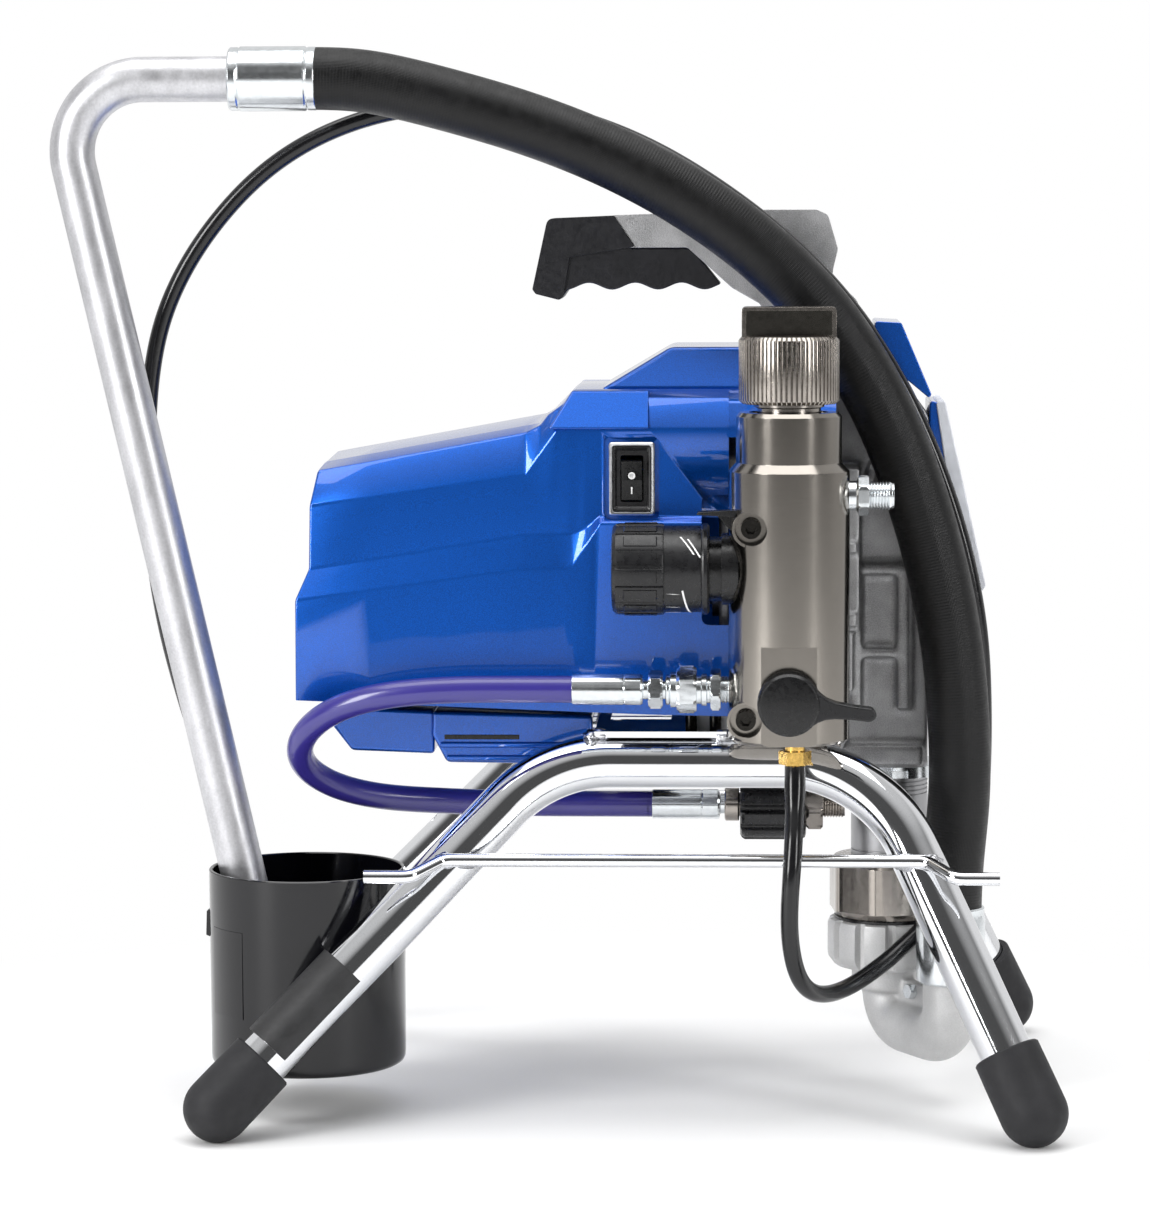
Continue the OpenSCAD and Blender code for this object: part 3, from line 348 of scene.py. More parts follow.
class Finish:
    """A procedural material on a Principled shader, in the object's own coordinates (metres)."""

    def __init__(self, name, colour, rough, metal=0.0, coat=0.0, coat_rough=0.05, spec=0.5):
        self.material = bpy.data.materials.new(name)
        self.material.use_nodes = True
        self.tree = self.material.node_tree
        self.shader = self.tree.nodes["Principled BSDF"]
        values = {"Base Color": (*colour, 1), "Roughness": rough, "Metallic": metal, "Coat Weight": coat,
                  "Coat Roughness": coat_rough, "Specular IOR Level": spec}
        for key, value in values.items():
            self.shader.inputs[key].default_value = value
        self.colour = colour
        self.place = self.add("TexCoord", {}).outputs["Object"]
        self.normal = None

    def add(self, kind, inputs, **settings):
        return add_node(self.tree, kind, inputs, **settings)

    def link(self, a, b):
        self.tree.links.new(a, b)

    def noise(self, size, detail=3.0, stretch=(1, 1, 1), rough=0.55):
        """Noise whose cells are about size millimetres, stretched along the axes."""
        mapping = self.add("Mapping", {"Scale": stretch})
        self.link(self.place, mapping.inputs["Vector"])
        node = self.add("TexNoise", {"Scale": 1 / (size * MM), "Detail": detail, "Roughness": rough})
        self.link(mapping.outputs[0], node.inputs["Vector"])
        return node.outputs["Fac"]

    def cells(self, size, output="Distance"):
        node = self.add("TexVoronoi", {"Scale": 1 / (size * MM)})
        self.link(self.place, node.inputs["Vector"])
        return node.outputs[output]

    def ramp(self, source, low, high, low_at=0.3, high_at=0.7):
        node = self.add("MapRange", {"From Min": low_at, "From Max": high_at, "To Min": low, "To Max": high})
        self.link(source, node.inputs["Value"])
        return node.outputs["Result"]

    def maths(self, operation, a, b=0.0):
        node = self.add("Math", {}, operation=operation)
        for value, socket in ((a, node.inputs[0]), (b, node.inputs[1])):
            if isinstance(value, (int, float)):
                socket.default_value = value
            else:
                self.link(value, socket)
        return node.outputs[0]

    def blend(self, a, b, share):
        """share of texture a and the rest of texture b."""
        return self.maths("ADD", self.maths("MULTIPLY", a, share), self.maths("MULTIPLY", b, 1 - share))

    def weave(self, pitch, strands):
        """Crossed threads on a swept hose, which carries its line and turn."""
        line, turn = (self.add("Attribute", {}, attribute_name=name).outputs["Fac"]
                      for name in ("line", "turn"))
        waves = [self.maths("SINE", self.maths("ADD", self.maths("MULTIPLY", line, tau / pitch),
                                               self.maths("MULTIPLY", turn, slant * strands * tau)))
                 for slant in (1, -1)]
        return self.maths("MULTIPLY", *waves)

    def shade(self, source, low, high, low_at=0.3, high_at=0.7):
        """Lets a texture drive the colour between two shades of the base colour."""
        node = self.add("Mix", {}, data_type="RGBA")
        self.link(self.ramp(source, 0, 1, low_at, high_at), node.inputs["Factor"])
        for share, socket in ((low, node.inputs["A"]), (high, node.inputs["B"])):
            socket.default_value = (*(min(1, c * share) for c in self.colour), 1)
        self.link(node.outputs["Result"], self.shader.inputs["Base Color"])

    def polish(self, source, low, high):
        self.link(self.ramp(source, low, high), self.shader.inputs["Roughness"])

    def bump(self, source, depth, strength=1.0):
        """Adds relief of about depth millimetres."""
        node = self.add("Bump", {"Distance": depth * MM, "Strength": strength})
        self.link(source, node.inputs["Height"])
        if self.normal is not None:
            self.link(self.normal, node.inputs["Normal"])
        self.normal = node.outputs[0]
        self.link(self.normal, self.shader.inputs["Normal"])
        return self

    def edges(self, radius):
        """Rounds hard edges in the shading of CAD nodes."""
        node = self.add("Bevel", {"Radius": radius * MM}, samples=4)
        self.normal = node.outputs[0]
        self.link(self.normal, self.shader.inputs["Normal"])


def chrome():
    f = Finish("chrome", (0.84, 0.85, 0.87), 0.05, metal=1.0)
    f.polish(f.noise(18), 0.035, 0.09)
    f.shade(f.noise(0.6, 2), 0.9, 1.0, 0.3, 0.45)
    return f.bump(f.noise(9, 2), 0.02, 0.25).material


def weld_bead():
    f = Finish("weld_bead", (0.72, 0.73, 0.76), 0.18, metal=1.0)
    f.shade(f.noise(1.6), 0.45, 1.05)
    return f.bump(f.noise(1.4, 3), 0.5, 0.9).material


def blue_paint():
    f = Finish("blue_metallic", (0.0, 0.085, 0.46), 0.34, metal=0.72, coat=1.0, coat_rough=0.03)
    f.shade(f.noise(0.35, 1), 0.78, 1.35, 0.32, 0.68)
    f.polish(f.noise(0.5, 1), 0.3, 0.42)
    return f.bump(f.cells(0.42, "Color"), 0.02, 0.35).material


def rubber(name, colour, rough):
    f = Finish(name, colour, rough, spec=0.35)
    f.shade(f.noise(14), 0.85, 1.2)
    f.polish(f.noise(6), rough - 0.06, min(1, rough + 0.08))
    return f.bump(f.noise(0.5, 2), 0.04, 0.6).material


def hose_cloth():
    """Rubber with the faint diagonal marks of the cloth it was wrapped in."""
    f = Finish("hose_cloth", (0.003, 0.003, 0.0033), 0.42, spec=0.32)
    f.shade(f.noise(22, 3), 0.6, 1.35)
    f.polish(f.noise(5, 3), 0.3, 0.46)
    f.bump(f.weave(2.2 / 0.72, 30), 0.12, 0.45)
    return f.bump(f.noise(1.2, 3), 0.06, 0.4).material


def gloss_plastic(name, colour, rough, scratch=0.05):
    f = Finish(name, colour, rough, spec=0.5)
    f.shade(f.noise(25), 0.85, 1.25)
    f.polish(f.noise(4, 4), rough, rough + 0.1)
    return f.bump(f.noise(3, 3), scratch, 0.25).material


def moulded(name, colour, rough, edge=0.0):
    f = Finish(name, colour, rough, spec=0.45)
    if edge:
        f.edges(edge)
    f.shade(f.noise(9), 0.85, 1.3)
    f.polish(f.noise(2.5, 3), rough - 0.08, rough + 0.1)
    return f.bump(f.noise(0.35, 2), 0.03, 0.5).material


def casting(name, colour, rough, grain=0.7, metal=0.85, depth=0.12, tone=(0.68, 1.25)):
    f = Finish(name, colour, rough, metal=metal)
    f.shade(f.blend(f.noise(0.5, 2), f.noise(16), 0.6), *tone, 0.38, 0.62)
    f.polish(f.noise(1.0, 3), rough - 0.1, rough + 0.15)
    return f.bump(f.noise(grain, 3), depth, 0.7).material


def turned_metal(name, colour, rough, axis=2, tone=(0.86, 1.1), relief=0.35):
    """Lathe-turned metal: fine lines run round the axis, so the texture changes only along it."""
    f = Finish(name, colour, rough, metal=1.0)
    f.edges(0.35)
    across = [0.012, 0.012, 0.012]
    across[axis] = 1
    lines = f.noise(0.12, 2, across, 0.7)
    f.shade(f.blend(lines, f.noise(7), 0.6), *tone)
    f.polish(lines, rough - 0.03, rough + 0.05)
    return f.bump(lines, 0.02, relief).material


def zinc(name="zinc", colour=(0.74, 0.77, 0.79), rough=0.2, tone=(0.78, 1.12)):
    f = Finish(name, colour, rough, metal=1.0)
    f.edges(0.3)
    f.shade(f.noise(3.5, 4), *tone)
    f.polish(f.noise(2.2, 4), rough - 0.03, rough + 0.05)
    return f.bump(f.noise(2.4, 2), 0.006, 0.15).material


def bare_tube():
    """Drawn aluminium that has dulled in long cloudy patches."""
    f = Finish("drawn_aluminium", (0.58, 0.58, 0.6), 0.36, metal=0.85)
    f.shade(f.blend(f.noise(16, 5, (1, 1, 0.35), 0.7), f.noise(1.2, 3), 0.65), 0.82, 1.12, 0.36, 0.62)
    f.polish(f.noise(8, 4, (1, 1, 0.3)), 0.32, 0.46)
    return f.bump(f.noise(0.8, 3), 0.03, 0.4).material


def braided_hose():
    """Thin clear cover over a purple-blue braid."""
    f = Finish("braided_hose", (0.03, 0.022, 0.2), 0.3, coat=0.6, coat_rough=0.12)
    braid = f.weave(2.6, 12)
    f.shade(braid, 0.75, 1.5, -0.6, 0.8)
    f.bump(braid, 0.22, 0.8)
    return f.bump(f.noise(2, 2), 0.05, 0.3).material


def brass():
    f = Finish("brass", (0.78, 0.5, 0.14), 0.2, metal=1.0)
    f.edges(0.3)
    f.shade(f.noise(2, 3), 0.8, 1.15)
    f.polish(f.noise(1.5, 3), 0.14, 0.32)
    return f.bump(f.noise(0.4, 2), 0.02, 0.3).material


def mesh_screen():
    f = Finish("filter_mesh", (0.8, 0.8, 0.76), 0.5)
    f.edges(0.2)
    f.shade(f.cells(0.8), 0.6, 1.1, 0.1, 0.6)
    return f.bump(f.cells(0.8), 0.1, 0.6).material


CHROME = chrome()
WELD = weld_bead()
BLUE = blue_paint()
FOOT_RUBBER = rubber("foot_rubber", (0.016, 0.016, 0.018), 0.6)
CLOTH = hose_cloth()
DRAIN = gloss_plastic("drain_hose_pvc", (0.006, 0.006, 0.007), 0.14)
CUP = gloss_plastic("cup_gloss", (0.0025, 0.0025, 0.004), 0.06, 0.01)
CLIP = moulded("clip_matte", (0.018, 0.018, 0.019), 0.5, edge=0.5)
GRIP = moulded("grip_matte", (0.009, 0.009, 0.011), 0.36)
BLACK = moulded("black_satin", (0.006, 0.006, 0.0065), 0.28, edge=0.35)
KNOB = moulded("knob_satin", (0.008, 0.008, 0.009), 0.3)
MARK = moulded("printed_white", (0.8, 0.8, 0.8), 0.45)
PALE = gloss_plastic("front_cover_grey", (0.66, 0.68, 0.73), 0.3)
CAST = casting("cast_aluminium", (0.33, 0.33, 0.335), 0.46)
ARM = casting("cast_handle", (0.5, 0.5, 0.505), 0.42)
ELBOW = casting("blasted_aluminium", (0.56, 0.56, 0.56), 0.5, 0.5, 0.45, 0.04, (0.9, 1.08))
SMOOTH_TURNING = {"tone": (0.93, 1.05), "relief": 0.12}
NICKEL = turned_metal("turned_nickel", (0.27, 0.25, 0.225), 0.13, **SMOOTH_TURNING)
NICKEL_PLAIN = zinc("plain_nickel", (0.36, 0.33, 0.3), 0.17, tone=(0.94, 1.04))
DARK_NICKEL = zinc("dark_nickel", (0.09, 0.085, 0.075), 0.22, tone=(0.92, 1.06))
ZINC = zinc(tone=(0.9, 1.06))
PUMP_METAL = turned_metal("pump_cylinder_metal", (0.34, 0.34, 0.35), 0.34, **SMOOTH_TURNING)
TUBE_METAL = bare_tube()
STEEL = turned_metal("machined_steel", (0.45, 0.45, 0.47), 0.28, axis=0)
BLACK_STEEL = zinc("black_oxide", (0.035, 0.033, 0.03), 0.25)
BRASS = brass()
SCREEN = mesh_screen()
BRAID = braided_hose()
BEZEL = zinc("bezel_silver", (0.62, 0.63, 0.65), 0.3)
PACKING = moulded("packing", (0.75, 0.7, 0.52), 0.6, edge=0.2)
BOARD = moulded("circuit_board", (0.02, 0.13, 0.05), 0.35, edge=0.2)

CAD_FINISHES = {
    "mounting_plate": CHROME, "frame_bolts": BLACK_STEEL, "cup_clip": CLIP, "clip_screws": BLACK_STEEL,
    "handle_screws": BLACK_STEEL, "motor_can": BLACK_STEEL, "armature": STEEL, "cooling_fan": BLACK,
    "motor_bearings": STEEL, "intermediate_gear": STEEL, "crank_gear": STEEL, "connecting_rod": STEEL,
    "wrist_pin": STEEL, "displacement_rod": STEEL, "rod_packings": PACKING, "pump_cylinder": PUMP_METAL,
    "jam_nut": ZINC, "intake_seat": STEEL, "intake_ball": STEEL, "piston_ball": STEEL, "suction_seal": BLACK,
    "inlet_strainer": BLACK, "filter_manifold": NICKEL, "manifold_bolts": BLACK_STEEL,
    "filter_element": SCREEN, "pressure_control": BLACK, "valve_base": NICKEL_PLAIN, "drain_fitting": BRASS,
    "power_rocker": BLACK, "control_board": BOARD,
}


def paint_cad_nodes():
    for node, material in CAD_FINISHES.items():
        mesh = frame["nodes"][node].data
        mesh.materials.clear()
        mesh.materials.append(material)


# ---------------------------------------------------------------- stand

def frame_corners(side):
    rear, front = SOLES["sole_near_rear"], SOLES["sole_near_front"]
    foot_z = FOOT_R - 0.5
    return [Vector((rear.x, side * abs(rear.y), foot_z)), Vector((-3, side * TOP_HALF, FRAME_TOP)),
            Vector((155, side * TOP_HALF, FRAME_TOP)), Vector((front.x, side * abs(front.y), foot_z))]


def build_stand():
    tubes = []
    for side in (-1, 1):
        tubes.append(sweep(filleted(frame_corners(side), 70, 2.5), TUBE_R, 48)[0])
    mesh_piece("stand_tubes", join(*tubes), CHROME, ["side_frames"], sharp=60)
    feet = []
    for side in (-1, 1):
        corners = frame_corners(side)
        for foot, knee in ((corners[0], corners[1]), (corners[3], corners[2])):
            feet.append(rubber_foot(foot, knee - foot))
    mesh_piece("rubber_boots", join(*feet), FOOT_RUBBER, ["rubber_feet"])


def rubber_foot(place, up):
    sleeve, lip = 31.5, 0.8
    profile = [(FOOT_R * sin(a), -FOOT_R * cos(a)) for a in (pi / 2 * k / 14 for k in range(15))]
    top = FOOT_R * 0.985
    profile += [(FOOT_R * 0.995, sleeve * 0.5), (top, sleeve - lip), (top - lip, sleeve),
                (TUBE_R + 0.5, sleeve), (TUBE_R + 0.1, sleeve - lip), (TUBE_R + 0.1, 8), (0, 8)]
    verts, faces = aimed(turned(profile, steps=56), place, up)
    return [Vector((v.x, v.y, max(v.z, 0.0))) for v in verts], faces


def weld_shape(place, size, seed):
    """A lumpy bead of weld metal."""
    work = bmesh.new()
    bmesh.ops.create_icosphere(work, subdivisions=3, radius=1)
    verts = []
    for v in work.verts:
        p = v.co
        lump = 1 + 0.16 * sin(5.1 * p.x + seed) * sin(4.3 * p.y + 2 * seed)
        lump += 0.09 * sin(9.7 * p.z + 3 * seed + 4 * p.x)
        verts.append(Vector((p.x * size[0], p.y * size[1], p.z * size[2])) * lump + Vector(place))
    faces = [tuple(v.index for v in f.verts) for f in work.faces]
    work.free()
    return verts, faces


def build_racks():
    low, high = span("hose_racks")
    r, rod_y = 3.2, high.y - 3.2
    rods, beads = [], []
    end_z = low.z + r
    foot, knee = frame_corners(1)[:2]
    weld_y = foot.lerp(knee, (end_z + 6 - foot.z) / (knee.z - foot.z)).y + TUBE_R + r + 0.3
    for side in (-1, 1):
        path = [(low.x, side * rod_y, end_z), (-67, side * rod_y, end_z), (-52, side * weld_y, end_z + 6),
                (180, side * weld_y, end_z + 6), (193, side * rod_y, end_z), (high.x, side * rod_y, end_z)]
        rods.append(sweep(filleted(path, 9, 1.5), r, 20)[0])
        for k, x in enumerate((-56, -46, 176, 187)):
            rear = k < 2
            leg = frame_corners(side)
            a, b = (leg[0], leg[1]) if rear else (leg[3], leg[2])
            t = (end_z + 5 - a.z) / (b.z - a.z)
            on_leg = a.lerp(b, t)
            place = (on_leg.x + (x + 51 if rear else x - 181.5), side * (weld_y - 3.5), end_z + 5)
            beads.append(weld_shape(place, (6.5, 4.5, 4), 1.3 * k + side))
    plate_low, plate_high = span("mounting_plate")
    for side in (-1, 1):
        for x in (plate_low.x + 1, plate_high.x - 1):
            beads.append(weld_shape((x, side * (TOP_HALF + 2), plate_low.z + 0.5), (7, 7, 3), x + side))
    mesh_piece("hose_rack_rods", join(*rods), CHROME, ["hose_racks"], sharp=60)
    mesh_piece("weld_beads", join(*beads), WELD, sharp=80)


# ---------------------------------------------------------------- drip cup

def build_cup():
    low, high = span("drip_cup")
    x, y = centre("drip_cup").xy
    r, height = (high.x - low.x) / 2, high.z - low.z
    wall = 1.9
    profile = [(0, 0), (r - 5, 0), (r - 3, 0.4), (r - 1.4, 1.4), (r - 0.5, 3.2), (r - 0.3, 6),
               (r, height - 6), (r, height - 0.5), (r - 0.5, height), (r - wall + 0.4, height),
               (r - wall, height - 0.5),
               (r - wall, height - 1.5), (r - wall - 0.3, 6), (r - wall - 3, wall + 0.6), (0, wall + 0.6)]
    mesh_piece("drip_cup_shell", moved(turned(profile, steps=128), (x, y, low.z)), CUP,
               ["drip_cup"], body="drip_cup")
    panel = []
    for radius in (r - 0.4, r + 0.18):
        for z in (low.z + 28, low.z + 71):
            ring = []
            for k in range(17):
                a = radians(-155 + 30 * k / 16)
                ring.append(Vector((x + radius * cos(a), y + radius * sin(a), z)))
            panel.append(ring)
    outline = [panel[0], panel[1], panel[3], panel[2]]
    mesh_piece("cup_moulded_panel", closed_strip(outline), CUP, body="drip_cup", bevel=0.12)
    tab = rounded([(x - r - 1.6, low.z + 64), (x - r + 1, low.z + 63), (x - r + 1, low.z + 78),
                   (x - r - 1.2, low.z + 76)], 0.6)
    mesh_piece("cup_side_tab", prism(tab, y - 5, y + 5), CUP, body="drip_cup", bevel=0.4)


def closed_strip(rings):
    """A bar whose cross-section corners are the matching points of four rows."""
    n = len(rings[0])
    cross = [[ring[i] for ring in rings] for i in range(n)]
    return loft(cross)


# ---------------------------------------------------------------- covers

def level(points):
    """A height that follows straight lines between (x, height) points."""
    def at(x):
        if x <= points[0][0]:
            return points[0][1]
        for (x0, z0), (x1, z1) in zip(points, points[1:]):
            if x <= x1:
                return z0 + (z1 - z0) * (x - x0) / (x1 - x0)
        return points[-1][1]
    return at


SHROUD_TOP = 355.5
SHROUD_LEVELS = [
    # half width, height along X, X of the rear edge at that height
    (75.0, level([(-127, 205), (65, 197.5)]), -126.6),
    (75.0, level([(-125, 254), (-17, 269), (8, 269.5), (16, 281.5), (22.6, 291.8)]), -126.4),
    (70.6, level([(-118, 269), (-17, 285.3), (8, 286.3), (16, 289.5), (22.6, 294.6)]), -119.9),
    (69.6, level([(-117, 299.8), (-14, 315), (1, 336), (9, 337.2)]), -119.4),
    (62.5, level([(-114, 316.5), (-9, 336), (-3, 344.0), (9, 352.0)]), -116.0),
    (50.0, level([(-114, 320), (-7, 339.2), (-3, 341.5), (9, SHROUD_TOP)]), -113.5),
    (0.0, level([(-114, 322), (-7, 341.2), (-3, 343.5), (9, SHROUD_TOP + 0.3)]), -113.0)]
SHROUD_FRONT = 85


def build_shroud():
    stations = [-90, -55, -17, -14, -7, -3, 1, 5, 9, 13, 16, 19.5, 22.6, 47, SHROUD_FRONT]
    halves = lambda xs: ([(x, side * half, z(x)) for (half, z, _), x in zip(SHROUD_LEVELS, xs)]
                         for side in (-1, 1))
    rings = []
    for x in [None] + stations:
        xs = [rear for _, _, rear in SHROUD_LEVELS] if x is None else [x] * len(SHROUD_LEVELS)
        near, far = halves(xs)
        rings.append(near + far[-2::-1])
    verts, faces = loft(rings, wrap=False, caps=False)
    count = len(rings[0])
    for i in range(len(SHROUD_LEVELS) - 1):
        other = count - 1 - i
        if i == len(SHROUD_LEVELS) - 2:
            faces.append((i, i + 1, other))
        else:
            faces.append((i, i + 1, other - 1, other))
    obj = mesh_piece("motor_shroud_shell", (verts, faces), BLUE, ["motor_shroud"])
    soften(obj, 2.6, tilt=9)
    wall = obj.modifiers.new("wall", "SOLIDIFY")
    wall.thickness = 2.6 * MM
    wall.offset = -1
    settle(obj)
    x, z = SWITCH.x, SWITCH.z
    frame_cut = lambda w, h, r: rounded(box_outline(x - w, z - h, x + w, z + h), r)
    cut(obj, prism(frame_cut(13.2, 20, 3), -80, -69.0), "switch_recess")
    cut(obj, prism(frame_cut(9.6, 16.9, 1.0), -80, -60), "switch_opening")
    notch = rounded(box_outline(71.8, 242, 100, 305), [4, 0, 0, 4])
    cut(obj, prism(notch, -80, -68.4), "manifold_notch")
    for row in range(5):
        z = 214 + 8.5 * row
        slot = rounded(box_outline(-42, z, 42, z + 3.6), 1.7)
        cut(obj, prism(slot, -135, -110, "X"), "rear_slot")
    obj.data.shade_smooth()
    obj.data.set_sharp_from_angle(angle=radians(32))
    # Panels that stand a little proud of the two sides, under the shoulder
    pads = []
    for side in (-1, 1):
        base = [(-2.5, 337.2), (46.5, 337.2), (46.5, 354.6), (8.6, 354.6)]
        inner = [(px, side * (69.0 if pz < 340 else 51), pz) for px, pz in base]
        outer = [(px, side * (71.6 if pz < 340 else 60.5), pz + (0 if pz < 340 else 0.9)) for px, pz in base]
        pads.append(loft([inner, outer]))
    mesh_piece("shroud_side_pads", join(*pads), BLUE, bevel=1.2)
    # Hood over the gear case, in front of the shroud
    hood_x = (SHROUD_FRONT - 1, 137)
    hood = []
    for px in hood_x:
        near = [(px, -69.8, 333), (px, -69.6, 337.2), (px, -62.5, 351), (px, -50, SHROUD_TOP)]
        hood.append(near + [(a, -b, c) for a, b, c in reversed(near)])
    obj = mesh_piece("gear_case_hood", loft(hood, wrap=False, caps=False), BLUE)
    soften(obj, 2.4, tilt=9)
    wall = obj.modifiers.new("wall", "SOLIDIFY")
    wall.thickness = 2.6 * MM
    wall.offset = -1 if obj.data.polygons[0].normal.y < 0 else 1
    settle(obj)
    obj.data.shade_smooth()
    obj.data.set_sharp_from_angle(angle=radians(32))


def build_top_cover():
    base, crown = box_outline(21.5, -45, 103, 45), box_outline(56, -34, 102, 34)
    z0, z1 = SHROUD_TOP - 0.5, SHROUD_TOP + 20
    shape = loft([[(x, y, z0) for x, y in base], [(x, y, z1) for x, y in crown]])
    mesh_piece("raised_top_cover", shape, BLUE, ["top_cover"], bevel=2.2)


def build_lower_pan():
    front = span("lower_pan")[1].x
    half = 60
    shapes = [prism([(-101, 178), (-60, 176.5), (-60, 198), (-112, 200), (-111, 191)], -half + 2, half - 2),
              prism([(-61, 186), (-54, 172.5), (front - 4, 171.5), (front, 176), (front, 196), (-61, 198)],
                    -half, half)]
    mesh_piece("louvred_pan", join(*shapes), BLUE, ["lower_pan"], bevel=2.0)
    ribs, gap_shade_strips = [], []
    for side in (-1, 1):
        for k in range(2):
            z = 183.5 - 6.5 * k
            edge = [(side * (half - 3), z), (side * (half + 1.8), z - 1), (side * (half + 1.2), z - 3.6),
                    (side * (half - 3), z - 3.6)]
            ribs.append(prism(edge, -57 + 3 * k, 8, "X"))
        # Black strips on the solid pan's side in the louvre gaps: painted shade in place of the dark inside
        # of real openings
        gap = box_outline(side * (half - 2), 184, side * (half + 0.25), 186.4)
        gap_shade_strips.append(prism(gap, -55, -18, "X"))
    mesh_piece("pan_louvres", join(*ribs), BLUE, bevel=0.9)
    mesh_piece("pan_gap_painted_shade", join(*gap_shade_strips), BLACK, bevel=0.3)


def build_front_covers():
    half = span("front_cover")[1].y
    blue = rounded([(183.4, 252), (203, 250), (206, 254), (189, 347), (183.4, 349)], 2)
    grey = rounded([(186.5, 348), (191, 349), (211.5, 257), (207, 251), (201, 250.5)], 2)
    mesh_piece("front_cover_body", prism(blue, -half + 1.5, half - 1.5), BLUE,
               bevel=1.2)
    mesh_piece("front_cover_plate", prism(grey, -half, half), PALE, ["front_cover"],
               bevel=1.8)
    cap = [(156.5, 364), (168, 362.5), (183, 350), (184.5, 351.5), (169.5, 387), (156.5, 387.8)]
    mesh_piece("pump_head_cap", prism(rounded(cap, 1.5), -half, half), BLUE, ["front_cap"],
               bevel=1.6)


# ---------------------------------------------------------------- drive housing and handle

def build_housing():
    low, high = span("drive_housing")
    wide = [(-60, 215), (-44, 200), (44, 200), (60, 215), (60, 322), (33, 352), (-33, 352), (-60, 322)]
    tower = rounded([(143, 166), (183, 166), (183, 342), (171, 358), (124, 358), (124, 200), (137, 192),
                     (143, 184)], 3)
    shapes = [prism(wide, 80, 124, "X"), block((123, -57, 237), (148.5, 57, 317)),
              block((123, -51, 206), (145.5, 51, 238)), prism(tower, -30, 30),
              block((105, -23.5, 340), (155.5, 23.5, high.z)),
              block((86, -74.5, 205), (138, -50, 312)), block((64, -45, low.z + 32), (84, 45, 215))]
    # Ledges, ribs and a bolted foot on both sides of the tower
    for side in (-1, 1):
        y0, y1 = sorted((side * 28, side * 33.5))
        shapes += [block((140, y0, 263), (176, y1, 268)), block((144, y0, 196), (150, y1, 262)),
                   block((168, y0, 196), (174, y1, 262)), block((146, y0, 222), (172, y1, 226)),
                   block((141, y0, 168), (181, y1, 178)), block((126, y0, 300), (181, y1, 305)),
                   prism([(150, 305), (156, 305), (170, 350), (164, 350)], y0, y1)]
        y0, y1 = sorted((side * 56, side * 60))
        shapes += [block((126, y0, 240), (147, y1, 246)), block((126, y0, 276), (147, y1, 281))]
    shell = mesh_piece("drive_housing_casting", join(*shapes), CAST, ["drive_housing"])
    cast(shell, 1.5, 5)


def build_handle():
    arm = rounded([(26.5, 424), (64, 424), (86, 404), (100, 396), (103, 388.3), (151, 388.3), (148, 398),
                   (135, 408), (138.6, 423), (133.6, 440), (128, 442.5), (98, 442.5), (26.5, 440)],
                  [0.5, 4, 6, 4, 2, 2, 8, 8, 3, 4, 4, 8, 0.5])
    mesh_piece("handle_arm_casting", prism(arm, -13, 13), ARM, ["handle_arm"], bevel=2.6)
    scallop = lambda x: (x, 404.9 + 1.7 * cos(tau * (x - 38.0) / 23))
    under = [scallop(4.5 + 76 * k / 48) for k in range(49)]
    outline = [(-5.5, 438.6), (-13.2, 403.5), (-11.5, 401.2), (0.2, 398.2), (2, 399.6)] + under
    outline += [(66, 423.7), (36.5, 423.7), (27.5, 439.9)]
    radii = [4, 1.5, 2, 1.5, 0.8] + [0] * len(under) + [1, 1.5, 1.5]
    shell = rounded([(-5.5, 438.6), (-13.2, 403.5), (-11.5, 401.2), (0.2, 398.2), (2.2, 399.8), (5.5, 419.5),
                     (38, 424.5), (27.5, 439.9)], [4, 1.5, 2, 1.5, 1.5, 2, 1, 1.5])
    mesh_piece("handle_grip_moulding", prism(rounded(outline, radii), -12.6, 12.6), GRIP,
               ["handle_grip"], bevel=3.4)
    mesh_piece("handle_guard_shell", prism(shell, -14, 14), GRIP, bevel=2.2)


# ---------------------------------------------------------------- suction line

def hose_attributes(obj, rings, around):
    """Stores the distance along and the turn round each ring, for the weave and braid textures."""
    line = obj.data.attributes.new("line", "FLOAT", "POINT")
    turn = obj.data.attributes.new("turn", "FLOAT", "POINT")
    for i, gone in enumerate(rings):
        for k in range(around):
            line.data[i * around + k].value = gone
            turn.data[i * around + k].value = min(k, around - k) * 2 / around


def hose_piece(name, path, radius, material, stands_for, around):
    shape, rings = sweep(path, radius, around)
    obj = mesh_piece(name, shape, material, stands_for, sharp=60)
    if len(obj.data.vertices) == len(rings) * around:
        hose_attributes(obj, rings, around)
    return obj


